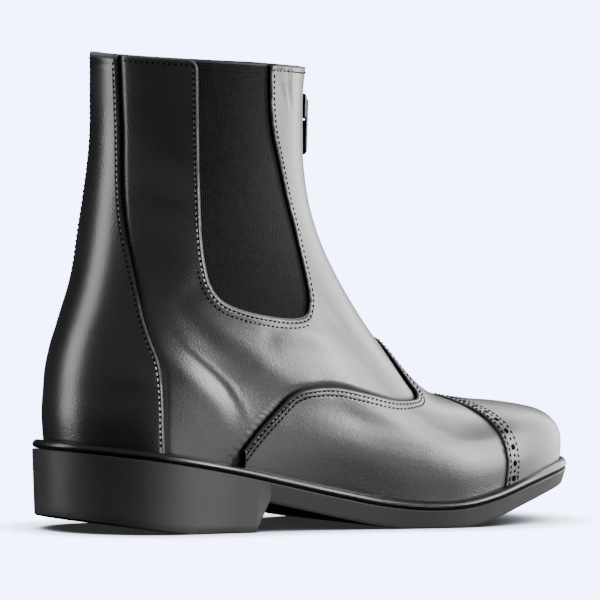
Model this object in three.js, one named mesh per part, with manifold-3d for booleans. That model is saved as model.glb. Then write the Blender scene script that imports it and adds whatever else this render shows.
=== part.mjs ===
import * as THREE from 'three';
import { mergeVertices } from 'three/addons/utils/BufferGeometryUtils.js';
import Module from 'manifold-3d';

// A right ankle boot with a front zip and two elastic gores, standing empty on its sole.
// Millimetres: X runs from heel to toe, Z is up, the outer side of the boot is -Y.

const wasm = await Module();
wasm.setup();

// Sole
const SOLE_LENGTH = 280;
const BALL_WIDTH = 98;
const SOLE_THICKNESS = 8;
const HEEL_PITCH = 26.5; // rise of the sole's top from the ball to the back of the heel
const TOE_SPRING = 16.5; // rise of the sole's top from the ball to the toe tip
const HEEL_LENGTH = 89;
const BREAST_UNDERCUT = 6.5;
const HEEL_BEVEL_LENGTH = 48;
const HEEL_BEVEL_RISE = 6.6;
const HEEL_BEVEL_CURVE = 1.15; // power that the bevel rises by, where 1 is straight
const BALL_FLAT = 0.8; // depth of the flat that the ball stands on
const TOE_THINNING = 2; // how much thinner the sole is at the toe tip
const SOLE_DRAFT = 1.6; // how far the sole's edge leans in towards the floor
const WELT_HEIGHT = 4;
const WELT_WIDTH = 5.5; // beyond the feather line at the toe

// Upper
const INSTEP_RISE = 80;
const SHAFT_HEIGHT = 200; // of the collar, from the floor
const SHAFT_LENGTH = 107.5;
const SHAFT_WIDTH = 74;
const SHAFT_BACK = 22; // the collar's rear edge ahead of the heel's back
const WALL = 2;
const PANEL_THICKNESS = 1.3;
const CAP_THICKNESS = 2.1;
const INSOLE_THICKNESS = 2;
const GORE_THICKNESS = 1.6;

// Zip
const SLIT_WIDTH = 8;
const SLIT_FOOT = 0.083; // the slit's lower end, as a share of the shaft over the instep
const TAPE_THICKNESS = 1.4;
const TEETH_WIDTH = 3.2;
const TEETH_PROUD = 0.9;
const SLIDER_DROP = 19; // of the slider's middle below the collar
const SLIDER_LENGTH = 11;
const SLIDER_WIDTH = 7;
const SLIDER_THICKNESS = 1;
const SLIDER_CHAMFER = 1;
const BRIDGE_LENGTH = 6.8;
const BRIDGE_WIDTH = 2.4;
const BRIDGE_WALL = 0.7;
const BRIDGE_SINK = 0.1; // how far the bridge's feet run into the plate
const PIN_RADIUS = 0.6;
const PIN_DROP = 1; // of the pin below the slider's middle
const PULL_LENGTH = 20;
const PULL_WIDTH = 5;

const GAP = 0.3; // between neighbouring pieces
const STATIONS = 34; // points round each ring of the upper
const SOLE_STATIONS = 48;
const REACH = 120; // half length of every cutter

// Top line of the sole: share of sole length, share of heel pitch, share of toe spring
const SOLE_LINE = [
  [0.000, 1.000, 0.000],
  [0.125, 0.845, 0.000],
  [0.268, 0.604, 0.000],
  [0.357, 0.419, 0.000],
  [0.446, 0.234, 0.000],
  [0.536, 0.068, 0.000],
  [0.607, 0.000, 0.000],
  [0.679, 0.000, 0.030],
  [0.739, 0.000, 0.205],
  [0.821, 0.000, 0.557],
  [0.875, 0.000, 0.746],
  [0.929, 0.000, 0.876],
  [1.000, 0.000, 1.000],
];

// Swing of the last's centre line: share of sole length, share of ball width (+ is inwards)
const CENTRE_LINE = [
  [0.00, 0.000],
  [0.21, -0.005],
  [0.43, -0.026],
  [0.61, -0.015],
  [0.73, 0.010],
  [0.86, 0.026],
  [1.00, 0.041],
];

// Rings of the foot, from the feather line up.
// back and front: shares of sole length. Their rises over the sole: shares of instep rise.
// follow: how far the ring follows the sole line. swing: how far it follows the centre line.
// widths: at 0, 30 ... 180 degrees from the back to the front, shares of ball width.
const FOOT_RINGS = [
  // back, rise, front, rise, follow, swing, widths
  [0.021, 0.000, 0.975, 0.000, 1.0, 1.00, 0.633, 0.553, 0.378, 0.342, 0.510, 0.597, 0.673],
  [0.017, 0.075, 0.980, 0.080, 1.0, 1.00, 0.643, 0.563, 0.388, 0.357, 0.515, 0.597, 0.673],
  [0.014, 0.188, 0.981, 0.172, 1.0, 1.00, 0.643, 0.568, 0.396, 0.372, 0.520, 0.592, 0.653],
  [0.015, 0.300, 0.969, 0.243, 1.0, 0.95, 0.643, 0.568, 0.400, 0.381, 0.515, 0.582, 0.612],
  [0.017, 0.413, 0.941, 0.303, 1.0, 0.90, 0.633, 0.561, 0.400, 0.380, 0.500, 0.556, 0.561],
  [0.023, 0.528, 0.882, 0.362, 1.0, 0.85, 0.597, 0.536, 0.398, 0.373, 0.471, 0.520, 0.469],
  [0.031, 0.630, 0.807, 0.438, 1.0, 0.80, 0.561, 0.510, 0.396, 0.369, 0.444, 0.490, 0.439],
  [0.043, 0.748, 0.729, 0.548, 0.9, 0.70, 0.529, 0.485, 0.394, 0.365, 0.408, 0.418, 0.378],
  [0.056, 0.890, 0.666, 0.716, 0.7, 0.60, 0.493, 0.459, 0.390, 0.359, 0.372, 0.352, 0.306],
];

// Rings of the shaft, from the ankle up to the collar.
// back and front: shares of shaft length ahead of SHAFT_BACK.
// heights: shares of the way from instep rise up to the collar. widths: shares of shaft width.
const SHAFT_RINGS = [
  // back, height, front, height, follow, swing, widths
  [-0.032, 0.300, 1.321, 0.067, 0.5, 0.45, 0.604, 0.570, 0.509, 0.470, 0.446, 0.385, 0.324],
  [-0.016, 0.400, 1.144, 0.280, 0.3, 0.30, 0.558, 0.538, 0.503, 0.470, 0.423, 0.349, 0.270],
  [-0.004, 0.500, 1.047, 0.455, 0.1, 0.20, 0.527, 0.514, 0.497, 0.473, 0.422, 0.332, 0.230],
  [0.007, 0.608, 1.003, 0.622, 0.0, 0.10, 0.507, 0.500, 0.493, 0.484, 0.430, 0.324, 0.209],
  [0.012, 0.742, 0.993, 0.758, 0.0, 0.00, 0.500, 0.500, 0.497, 0.491, 0.441, 0.324, 0.216],
  [0.007, 0.875, 0.990, 0.883, 0.0, 0.00, 0.500, 0.500, 0.500, 0.497, 0.446, 0.324, 0.216],
  [0.000, 1.000, 1.000, 0.975, 0.0, 0.00, 0.500, 0.500, 0.503, 0.503, 0.454, 0.331, 0.216],
];
const RING_ANGLES = [0, 30, 60, 90, 120, 150, 180];
const COLLAR_RING = FOOT_RINGS.length + SHAFT_RINGS.length - 1;

// Width of the welt beyond the feather line at each ring angle: shares of welt width
const WELT_WIDTHS = [1.20, 0.91, 0.71, 0.69, 0.87, 0.98, 1.00];

// Section of the welt's bead: depth in from its edge and rise, shares of welt height
const WELT_SECTION = [
  [0.125, 0.00],
  [0.000, 0.30],
  [0.025, 0.60],
  [0.200, 0.86],
  [0.550, 1.00],
];

// Stations of the heel's bevel: shares of its length back from its front end
const HEEL_BEVEL_STATIONS = [1.25, 1.00, 0.75, 0.50, 0.25, 0.00];

// Front edge of the back panel: ring number, degrees from the back
const BACK_PANEL_EDGE = [
  [0.0, 39.5],
  [3.0, 39.0],
  [5.5, 37.5],
  [7.6, 31.0],
  [9.9, 22.5],
  [12.8, 16.0],
  [15.0, 14.0],
];

// Side outline of a gore: the same shares of shaft length and of the way up to the collar
const GORE_OUTLINE = [
  [0.240, 1.100],
  [0.260, 0.727],
  [0.281, 0.397],
  [0.315, 0.243],
  [0.372, 0.160],
  [0.489, 0.117],
  [0.669, 0.092],
  [0.783, 0.095],
  [0.824, 0.128],
  [0.828, 0.217],
  [0.787, 0.398],
  [0.690, 0.605],
  [0.605, 0.797],
  [0.575, 1.100],
];

// Rear edge of the vamp, from the welt up to its peak: shares of sole length and instep rise
const VAMP_EDGE = [
  [0.225, 0.200],
  [0.254, 0.369],
  [0.291, 0.528],
  [0.323, 0.636],
  [0.355, 0.733],
  [0.388, 0.765],
  [0.437, 0.769],
  [0.490, 0.736],
  [0.554, 0.689],
  [0.601, 0.681],
  [0.623, 0.694],
  [0.631, 0.728],
  [0.625, 0.780],
  [0.612, 0.888],
  [0.608, 0.945],
  [0.607, 1.000],
  [0.612, 1.060],
  [0.625, 1.150],
];

// Rear edge of the toe cap, from over the vamp down past the welt: the same shares
const CAP_EDGE = [
  [0.728, 0.850],
  [0.736, 0.696],
  [0.744, 0.660],
  [0.757, 0.590],
  [0.762, 0.503],
  [0.768, 0.416],
  [0.771, 0.333],
  [0.769, 0.218],
  [0.766, 0.050],
];

// Smooth curves through a table's rows

function smooth(at, values, position, flatEnds = false) {
  const last = at.length - 1;
  const slope = (i) => {
    if (i === 0 || i === last) {
      const j = Math.max(i, 1);
      return flatEnds ? 0 : (values[j] - values[j - 1]) / (at[j] - at[j - 1]);
    }
    const before = at[i] - at[i - 1];
    const after = at[i + 1] - at[i];
    const rise = ((values[i + 1] - values[i]) / after) * before;
    const fall = ((values[i] - values[i - 1]) / before) * after;
    return (rise + fall) / (before + after);
  };
  let i = 0;
  while (i < last - 1 && position > at[i + 1]) {
    i += 1;
  }
  const step = at[i + 1] - at[i];
  const t = THREE.MathUtils.clamp((position - at[i]) / step, 0, 1);
  const start = values[i] * (1 + 2 * t) * (1 - t) ** 2 + slope(i) * step * t * (1 - t) ** 2;
  const end = values[i + 1] * (3 - 2 * t) * t ** 2 + slope(i + 1) * step * (t - 1) * t ** 2;
  return start + end;
}

function column(table, number) {
  return table.map((row) => row[number]);
}

const soleStations = column(SOLE_LINE, 0);
const soleHeights = SOLE_LINE.map(
  ([, pitch, spring]) => SOLE_THICKNESS + pitch * HEEL_PITCH + spring * TOE_SPRING,
);

function soleTop(x) {
  return smooth(soleStations, soleHeights, x / SOLE_LENGTH);
}

function centreLine(x) {
  return smooth(column(CENTRE_LINE, 0), column(CENTRE_LINE, 1), x / SOLE_LENGTH) * BALL_WIDTH;
}

// The upper's outer surface: rings in mm, smooth between them

function footRing([back, backRise, front, frontRise, follow, swing, ...widths]) {
  const backX = back * SOLE_LENGTH;
  const frontX = front * SOLE_LENGTH;
  const backZ = soleTop(backX) + backRise * INSTEP_RISE;
  const frontZ = soleTop(frontX) + frontRise * INSTEP_RISE;
  return [backX, backZ, frontX, frontZ, follow, swing, ...widths.map((w) => w * BALL_WIDTH)];
}

const shaftPoint = ([along, up]) => [
  SHAFT_BACK + along * SHAFT_LENGTH,
  THREE.MathUtils.lerp(INSTEP_RISE, SHAFT_HEIGHT, up),
];

function shaftRing([back, backHeight, front, frontHeight, follow, swing, ...widths]) {
  return [...shaftPoint([back, backHeight]), ...shaftPoint([front, frontHeight]), follow, swing,
    ...widths.map((w) => w * SHAFT_WIDTH)];
}

const rings = [...FOOT_RINGS.map(footRing), ...SHAFT_RINGS.map(shaftRing)];
const ringNumbers = rings.map((_, i) => i);

function ringAt(number) {
  return rings[0].map((_, i) => smooth(ringNumbers, column(rings, i), number));
}

// Angle 0 is the back, a quarter turn is the outer side, a half turn is the front.
function ringPoint([back, backZ, front, frontZ, follow, swing, ...widths], angle) {
  const share = (1 - Math.cos(angle)) / 2;
  const x = THREE.MathUtils.lerp(back, front, share);
  const chord = THREE.MathUtils.lerp(soleTop(back), soleTop(front), share);
  const z = THREE.MathUtils.lerp(backZ, frontZ, share) + follow * (soleTop(x) - chord);
  const degrees = Math.abs(THREE.MathUtils.radToDeg(angle));
  const width = smooth(RING_ANGLES, widths, Math.min(degrees, 360 - degrees), true);
  return new THREE.Vector3(x, swing * centreLine(x) - width * Math.sin(angle), z);
}

function outward(number, angle) {
  const nudge = 0.01;
  const low = Math.max(number - nudge, 0);
  const high = Math.min(number + nudge, COLLAR_RING);
  const along = ringPoint(ringAt(number), angle + nudge)
    .sub(ringPoint(ringAt(number), angle - nudge));
  const up = ringPoint(ringAt(high), angle).sub(ringPoint(ringAt(low), angle));
  return along.cross(up).normalize();
}

function surfacePoint(number, angle, offset) {
  return ringPoint(ringAt(number), angle).addScaledVector(outward(number, angle), offset);
}

function turns(count) {
  return Array.from({ length: count }, (_, i) => (i * 2 * Math.PI) / count);
}

// Ring numbers of the mesh: close together over the foot, where the form turns fastest
const meshRings = [];
for (let number = 0; number < COLLAR_RING; number += number >= 2 && number < 11 ? 0.5 : 1) {
  meshRings.push(number);
}
meshRings.push(COLLAR_RING);

// Closed solids

function solidOf(geometry) {
  const bare = geometry.clone();
  bare.deleteAttribute('normal');
  bare.deleteAttribute('uv');
  const merged = mergeVertices(bare, 1e-5);
  const vertProperties = new Float32Array(merged.attributes.position.array);
  const triVerts = new Uint32Array(merged.index.array);
  return new wasm.Manifold(new wasm.Mesh({ numProp: 3, vertProperties, triVerts }));
}

function indexedGeometry(points, triangles) {
  const geometry = new THREE.BufferGeometry();
  const positions = points.flatMap((point) => point.toArray());
  geometry.setAttribute('position', new THREE.Float32BufferAttribute(positions, 3));
  geometry.setIndex(triangles);
  return geometry;
}

// Skin between closed loops of equal length, stacked upwards, with a cap at each end
function loft(loops) {
  const count = loops[0].length;
  const triangles = [];
  for (let level = 0; level < loops.length - 1; level += 1) {
    for (let i = 0; i < count; i += 1) {
      const a = level * count + i;
      const b = level * count + ((i + 1) % count);
      triangles.push(a, b, b + count, a, b + count, a + count);
    }
  }
  const capOf = (loop) => THREE.ShapeUtils.triangulateShape(
    loop.map((point) => new THREE.Vector2(point.x, point.y)), [],
  );
  const top = (loops.length - 1) * count;
  capOf(loops[0]).forEach(([a, b, c]) => triangles.push(a, c, b));
  capOf(loops.at(-1)).forEach(([a, b, c]) => triangles.push(top + a, top + b, top + c));
  return solidOf(indexedGeometry(loops.flat(), triangles));
}

// Skin round a ring of cross-sections that closes on itself, with no caps
function closedBand(sections) {
  const count = sections[0].length;
  const triangles = [];
  sections.forEach((_, s) => {
    const next = (s + 1) % sections.length;
    for (let i = 0; i < count; i += 1) {
      const j = (i + 1) % count;
      const [a, b, c, d] = [s * count + i, next * count + i, next * count + j, s * count + j];
      triangles.push(a, b, c, a, c, d);
    }
  });
  return solidOf(indexedGeometry(sections.flat(), triangles));
}

// Everything inside the upper's surface moved outwards by offset, run on past both ends
function inside(offset, runOn) {
  const loops = meshRings.map(
    (number) => turns(STATIONS).map((angle) => surfacePoint(number, angle, offset)),
  );
  const foot = runOn ? -REACH : -REACH / 2;
  const under = loops[0].map((point) => point.clone().setZ(foot));
  const over = loops.at(-1).map((point) => point.clone().setZ(point.z + REACH));
  return loft(runOn ? [under, ...loops, over] : [under, ...loops]);
}

function shell(inner, outer) {
  return inside(outer, false).subtract(inside(inner, true));
}

// A side outline in X and Z, run through the boot from side to side
function sidePrism(points, halfDepth = REACH, middle = 0) {
  const shape = new THREE.Shape(points.map(([x, z]) => new THREE.Vector2(x, z)));
  const geometry = new THREE.ExtrudeGeometry(shape, { depth: 2 * halfDepth, bevelEnabled: false });
  geometry.rotateX(Math.PI / 2);
  geometry.translate(0, middle + halfDepth, 0);
  return solidOf(geometry);
}

// A front outline in Y and Z, run forwards from the middle of the shaft
function frontPrism(points) {
  const shape = new THREE.Shape(points.map(([y, z]) => new THREE.Vector2(y, z)));
  const geometry = new THREE.ExtrudeGeometry(shape, { depth: SOLE_LENGTH, bevelEnabled: false });
  geometry.rotateX(Math.PI / 2);
  geometry.rotateZ(Math.PI / 2);
  geometry.translate(SHAFT_BACK + SHAFT_LENGTH / 2, 0, 0);
  return solidOf(geometry);
}

function curveThrough(points, divisions = 2) {
  const curve = new THREE.SplineCurve(points.map(([x, y]) => new THREE.Vector2(x, y)));
  return curve.getPoints(divisions * (points.length - 1)).map((point) => [point.x, point.y]);
}

// Side outline moved inwards by a distance, for outlines that run anticlockwise
function inset(points, distance) {
  const count = points.length;
  return points.map(([x, y], i) => {
    const before = points[(i + count - 1) % count];
    const after = points[(i + 1) % count];
    const along = new THREE.Vector2(after[0] - before[0], after[1] - before[1]).normalize();
    return [x - along.y * distance, y + along.x * distance];
  });
}

// Sole line at fixed stations, so that every piece cut along it has the same facets
const LINE_STEPS = 44;
const lineStations = Array.from(
  { length: LINE_STEPS + 1 },
  (_, i) => THREE.MathUtils.lerp(-0.1, 1.1, i / LINE_STEPS) * SOLE_LENGTH,
);

function soleLine(rise) {
  return lineStations.map((x) => [x, soleTop(x) + rise]);
}

function below(rise) {
  const [first, last] = [lineStations[0], lineStations.at(-1)];
  return sidePrism([[first, -REACH], [last, -REACH], ...soleLine(rise).reverse()]);
}

const footPoint = ([along, up]) => [along * SOLE_LENGTH, up * INSTEP_RISE];

// Plan outline beyond the feather line, for the welt and the outsole
function soleEdge(angle, extra, z) {
  const point = surfacePoint(1, angle, 0);
  const away = outward(1, angle).setZ(0).normalize();
  const degrees = THREE.MathUtils.radToDeg(angle);
  const share = smooth(RING_ANGLES, WELT_WIDTHS, Math.min(degrees, 360 - degrees), true);
  point.addScaledVector(away, share * WELT_WIDTH + extra);
  return point.setZ(z(point.x));
}

// Outsole: moulded sole and heel block in one, cut from a leaning column by its side profile
function outsole() {
  const low = turns(SOLE_STATIONS).map((angle) => soleEdge(angle, -SOLE_DRAFT, () => -GAP));
  const high = turns(SOLE_STATIONS).map((angle) => soleEdge(angle, 0, () => HEEL_PITCH * 2));
  const ball = HEEL_LENGTH * 2;
  const thinning = (x) => TOE_THINNING * THREE.MathUtils.smoothstep(x, ball, SOLE_LENGTH);
  const forepart = lineStations
    .filter((x) => x > HEEL_LENGTH)
    .map((x) => [x, Math.max(0, soleTop(x) - SOLE_THICKNESS - BALL_FLAT + thinning(x))]);
  const breastTop = [HEEL_LENGTH, soleTop(HEEL_LENGTH) - SOLE_THICKNESS];
  const bevel = HEEL_BEVEL_STATIONS.map(
    (share) => [HEEL_BEVEL_LENGTH * (1 - share), HEEL_BEVEL_RISE * share ** HEEL_BEVEL_CURVE],
  );
  const profile = [
    ...bevel,
    [HEEL_LENGTH - BREAST_UNDERCUT, 0],
    breastTop,
    ...forepart,
    ...soleLine(0).reverse(),
  ];
  return loft([low, high]).intersect(sidePrism(profile));
}

// Welt: a rounded bead on the sole's edge, closed round the upper
function welt() {
  const sections = turns(SOLE_STATIONS).map((angle) => {
    const outer = WELT_SECTION.map(([depth, rise]) => soleEdge(
      angle, -depth * WELT_HEIGHT, (x) => soleTop(x) + rise * WELT_HEIGHT,
    ));
    const seat = surfacePoint(1, angle, -WALL);
    const inner = [WELT_HEIGHT, 0].map((rise) => seat.clone().setZ(soleTop(seat.x) + rise));
    return [...outer, ...inner];
  });
  return closedBand(sections).subtract(inside(GAP, true)).subtract(below(GAP));
}

// Insole: the board that the foot stands on, inside the wall
function insole() {
  const board = sidePrism([...soleLine(GAP), ...soleLine(GAP + INSOLE_THICKNESS).reverse()]);
  return inside(-WALL - GAP, true).intersect(board);
}

// Cuts through the upper
const goreOutline = curveThrough(GORE_OUTLINE.map(shaftPoint));
const slitEnd = THREE.MathUtils.lerp(INSTEP_RISE, SHAFT_HEIGHT, SLIT_FOOT);
const slitCut = (narrower) => {
  const half = SLIT_WIDTH / 2 - narrower;
  const low = slitEnd + narrower;
  const high = SHAFT_HEIGHT + REACH;
  return frontPrism([[-half, low + half], [-half / 2, low], [half / 2, low], [half, low + half],
    [half, high], [-half, high]]);
};

// Upper: one hollow leather body, open at the collar and underneath
function upper() {
  return shell(-WALL, 0)
    .subtract(below(GAP))
    .subtract(sidePrism(goreOutline))
    .subtract(slitCut(0));
}

// Gores: elastic panels that fill the notches, flush with the leather
function gore(side) {
  const panel = inside(-GAP, false)
    .subtract(inside(-GAP - GORE_THICKNESS, true))
    .intersect(sidePrism(inset(goreOutline, GAP)));
  const half = sidePrism([[-REACH, -REACH], [SOLE_LENGTH, -REACH],
    [SOLE_LENGTH, SHAFT_HEIGHT + REACH], [-REACH, SHAFT_HEIGHT + REACH]],
  REACH / 2, (side * REACH) / 2);
  return panel.intersect(half);
}

// Leather panels that lie over the upper, each down to the top of the welt
const aboveWelt = below(WELT_HEIGHT + 2 * GAP);
const capEdge = curveThrough(CAP_EDGE.map(footPoint));

function capRegion(further) {
  const front = SOLE_LENGTH + REACH;
  return sidePrism([[front, -REACH], [front, SHAFT_HEIGHT],
    ...capEdge.map(([x, z]) => [x - further, z]), [capEdge.at(-1)[0] - further, -REACH]]);
}

function vamp() {
  const edge = curveThrough(VAMP_EDGE.map(footPoint));
  const front = SOLE_LENGTH + REACH;
  const region = sidePrism([...edge.reverse(), [edge.at(-1)[0], -REACH], [front, -REACH],
    [front, edge[0][1]]]);
  return shell(GAP, GAP + PANEL_THICKNESS)
    .intersect(region)
    .subtract(capRegion(GAP))
    .subtract(aboveWelt);
}

function toeCap() {
  return shell(GAP, GAP + CAP_THICKNESS).intersect(capRegion(0)).subtract(aboveWelt);
}

// Heel counter and back strip in one piece, narrowing from the welt up to the collar.
// The cutter is a band that follows the surface, thick enough to hold the whole panel.
function backPanel() {
  const reachOut = 3 * PANEL_THICKNESS;
  const steps = [-1, -0.6, -0.2, 0.2, 0.6, 1];
  const loops = meshRings.map((number) => {
    const degrees = smooth(column(BACK_PANEL_EDGE, 0), column(BACK_PANEL_EDGE, 1), number);
    const reach = THREE.MathUtils.degToRad(degrees);
    const outer = steps.map((t) => surfacePoint(number, t * reach, reachOut));
    const inner = steps.map((t) => surfacePoint(number, t * reach, -reachOut));
    return [...outer, ...inner.reverse()];
  });
  return shell(GAP, GAP + PANEL_THICKNESS).intersect(loft(loops)).subtract(aboveWelt);
}

// Zip: a cloth tape in the front slit with its row of teeth standing proud
function zipTape() {
  const tape = shell(-GAP - TAPE_THICKNESS, -GAP).intersect(slitCut(GAP));
  const half = TEETH_WIDTH / 2;
  const low = slitEnd + SLIT_WIDTH;
  const high = SHAFT_HEIGHT + REACH;
  const row = frontPrism([[-half, low], [half, low], [half, high], [-half, high]]);
  return tape.add(shell(-GAP - TAPE_THICKNESS, TEETH_PROUD).intersect(row));
}

// Slider: a plate over the teeth with a bridge for the pull. Its zero is on the ridge line.
function ridgeAt(height) {
  let low = 0;
  let high = COLLAR_RING;
  while (high - low > 1e-4) {
    const middle = (low + high) / 2;
    if (ringAt(middle)[3] < height) {
      low = middle;
    } else {
      high = middle;
    }
  }
  return ringAt(low)[2];
}

const plateInner = TEETH_PROUD + GAP;
const plateOuter = plateInner + SLIDER_THICKNESS;
const bridgeInner = plateOuter + GAP;
const bridgeOuter = bridgeInner + 2 * (PIN_RADIUS + GAP);
const pin = [bridgeInner + PIN_RADIUS + GAP, -PIN_DROP];

function slider() {
  const half = SLIDER_LENGTH / 2;
  const plate = sidePrism([[plateInner, -half], [plateOuter, SLIDER_CHAMFER - half],
    [plateOuter, half - SLIDER_CHAMFER], [plateInner, half]], SLIDER_WIDTH / 2);
  const rise = BRIDGE_LENGTH / 2;
  const foot = plateOuter - BRIDGE_SINK;
  const top = bridgeOuter + BRIDGE_WALL;
  const bridge = sidePrism([[foot, -rise], [bridgeOuter, -rise], [top, SLIDER_CHAMFER - rise],
    [top, rise - SLIDER_CHAMFER], [bridgeOuter, rise], [foot, rise]], BRIDGE_WIDTH / 2);
  const hole = rise - BRIDGE_WALL;
  const cut = sidePrism([[bridgeInner, -hole], [bridgeOuter, -hole], [bridgeOuter, hole],
    [bridgeInner, hole]], BRIDGE_WIDTH);
  return plate.add(bridge.subtract(cut));
}

// Pull: a tab that hangs from the bridge on its pin, with a window round the bridge
function pull() {
  const half = PULL_WIDTH / 2;
  const face = new THREE.Shape();
  face.moveTo(-half, PIN_RADIUS);
  face.lineTo(-half, -PULL_LENGTH + half);
  face.absarc(0, -PULL_LENGTH + half, half, Math.PI, 2 * Math.PI, false);
  face.lineTo(half, PIN_RADIUS);
  const opening = BRIDGE_WIDTH / 2 + GAP;
  const reach = BRIDGE_LENGTH / 2 + PIN_DROP + 2 * GAP;
  const hole = new THREE.Path();
  hole.moveTo(-opening, -PIN_RADIUS);
  hole.lineTo(opening, -PIN_RADIUS);
  hole.lineTo(opening, -reach);
  hole.lineTo(-opening, -reach);
  face.holes.push(hole);
  const tab = new THREE.ExtrudeGeometry(face, {
    depth: 2 * PIN_RADIUS, bevelEnabled: false, curveSegments: 8,
  });
  tab.translate(0, 0, -PIN_RADIUS);
  tab.rotateX(Math.PI / 2);
  tab.rotateZ(Math.PI / 2);
  return solidOf(tab);
}

// Scene: one named mesh for each piece

const leather = { color: 0x1b1a1c, roughness: 0.42, metalness: 0 };
const rubber = { color: 0x242426, roughness: 0.5, metalness: 0 };
const gloss = { color: 0x0c0c0e, roughness: 0.2, metalness: 0 };
const elastic = { color: 0x1e1b20, roughness: 0.95, metalness: 0 };
const cloth = { color: 0x101012, roughness: 0.9, metalness: 0 };
const board = { color: 0x6a5a48, roughness: 0.8, metalness: 0 };
const metal = { color: 0x1a1a1c, roughness: 0.35, metalness: 0.9 };

function meshOf(name, solid, look) {
  const { vertProperties, triVerts } = solid.getMesh();
  const geometry = new THREE.BufferGeometry();
  geometry.setAttribute('position', new THREE.Float32BufferAttribute(vertProperties, 3));
  geometry.setIndex(Array.from(triVerts));
  geometry.computeVertexNormals();
  const mesh = new THREE.Mesh(geometry, new THREE.MeshStandardMaterial(look));
  mesh.name = name;
  return mesh;
}

const boot = new THREE.Group();
boot.add(
  meshOf('outsole', outsole(), rubber),
  meshOf('welt', welt(), gloss),
  meshOf('insole', insole(), board),
  meshOf('upper', upper(), leather),
  meshOf('back_panel', backPanel(), leather),
  meshOf('vamp', vamp(), leather),
  meshOf('toe_cap', toeCap(), leather),
  meshOf('gore_lateral', gore(-1), elastic),
  meshOf('gore_medial', gore(1), elastic),
  meshOf('zip_tape', zipTape(), cloth),
);

const zipSlider = meshOf('zip_slider', slider(), metal);
const zipPull = meshOf('zip_pull', pull(), metal);
const sliderHeight = SHAFT_HEIGHT - SLIDER_DROP;
const ridge = ridgeAt(sliderHeight);
zipSlider.position.set(ridge, 0, sliderHeight);
zipPull.position.set(ridge + pin[0], 0, sliderHeight + pin[1]);
boot.add(zipSlider, zipPull);

// Origin under the middle of the whole boot, on the floor
const box = new THREE.Box3().setFromObject(boot, true);
const middle = box.getCenter(new THREE.Vector3());
boot.position.set(-middle.x, -middle.y, -box.min.z);
boot.updateMatrixWorld(true);

export default boot;
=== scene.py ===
import math

import bpy
import bmesh
import numpy as np
from mathutils import Matrix, Vector


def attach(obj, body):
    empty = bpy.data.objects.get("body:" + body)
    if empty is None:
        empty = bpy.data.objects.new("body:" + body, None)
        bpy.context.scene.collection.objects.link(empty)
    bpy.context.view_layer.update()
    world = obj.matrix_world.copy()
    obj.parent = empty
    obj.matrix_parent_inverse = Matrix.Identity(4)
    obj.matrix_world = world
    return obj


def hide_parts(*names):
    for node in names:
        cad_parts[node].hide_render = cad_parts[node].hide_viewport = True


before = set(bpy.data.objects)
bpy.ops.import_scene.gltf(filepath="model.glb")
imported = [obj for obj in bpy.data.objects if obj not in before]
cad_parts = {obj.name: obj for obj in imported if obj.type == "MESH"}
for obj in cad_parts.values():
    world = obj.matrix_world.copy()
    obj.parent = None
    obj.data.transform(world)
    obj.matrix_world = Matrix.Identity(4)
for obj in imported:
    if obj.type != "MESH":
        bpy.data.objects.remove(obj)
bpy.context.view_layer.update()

# The last. Every leather piece of this right boot is pulled over one foot form, so each
# is a part of that form's surface, moved out by the leather that lies under it.
# Millimetres from the heel's back edge on the floor: X to the toe, Z up, outer side -Y.
SOLE_LENGTH, BALL_WIDTH, SOLE_THICKNESS = 280.0, 98.0, 8.0
HEEL_PITCH, TOE_SPRING, INSTEP_RISE = 26.5, 16.5, 80.0
SHAFT_HEIGHT, SHAFT_LENGTH, SHAFT_WIDTH, SHAFT_BACK = 200.0, 107.5, 74.0, 22.0
MIDDLE = np.array([139.030, 0.984, 0.0])  # the whole boot's middle, in these measures

SOLE_LINE = np.array([
    # share of sole length, of heel pitch, of toe spring
    [0.000, 1.000, 0.000], [0.125, 0.845, 0.000], [0.268, 0.604, 0.000],
    [0.357, 0.419, 0.000], [0.446, 0.234, 0.000], [0.536, 0.068, 0.000],
    [0.607, 0.000, 0.000], [0.679, 0.000, 0.030], [0.739, 0.000, 0.205],
    [0.821, 0.000, 0.557], [0.875, 0.000, 0.746], [0.929, 0.000, 0.876],
    [1.000, 0.000, 1.000]])
CENTRE_LINE = np.array([
    # share of sole length, share of ball width towards the inner side
    [0.00, 0.000], [0.21, -0.005], [0.43, -0.026], [0.61, -0.015], [0.73, 0.010],
    [0.86, 0.026], [1.00, 0.041]])
FOOT_RINGS = np.array([
    # back, rise, front, rise, follow, swing, widths from back to front
    [0.021, 0.000, 0.975, 0.000, 1.0, 1.00, 0.633, 0.553, 0.378, 0.342, 0.510, 0.597, 0.673],
    [0.017, 0.075, 0.980, 0.080, 1.0, 1.00, 0.643, 0.563, 0.388, 0.357, 0.515, 0.597, 0.673],
    [0.014, 0.188, 0.981, 0.172, 1.0, 1.00, 0.643, 0.568, 0.396, 0.372, 0.520, 0.592, 0.653],
    [0.015, 0.300, 0.969, 0.243, 1.0, 0.95, 0.643, 0.568, 0.400, 0.381, 0.515, 0.582, 0.612],
    [0.017, 0.413, 0.941, 0.303, 1.0, 0.90, 0.633, 0.561, 0.400, 0.380, 0.500, 0.556, 0.561],
    [0.023, 0.528, 0.882, 0.362, 1.0, 0.85, 0.597, 0.536, 0.398, 0.373, 0.471, 0.520, 0.469],
    [0.031, 0.630, 0.807, 0.438, 1.0, 0.80, 0.561, 0.510, 0.396, 0.369, 0.444, 0.490, 0.439],
    [0.043, 0.748, 0.729, 0.548, 0.9, 0.70, 0.529, 0.485, 0.394, 0.365, 0.408, 0.418, 0.378],
    [0.056, 0.890, 0.666, 0.716, 0.7, 0.60, 0.493, 0.459, 0.390, 0.359, 0.372, 0.352, 0.306]])
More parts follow.
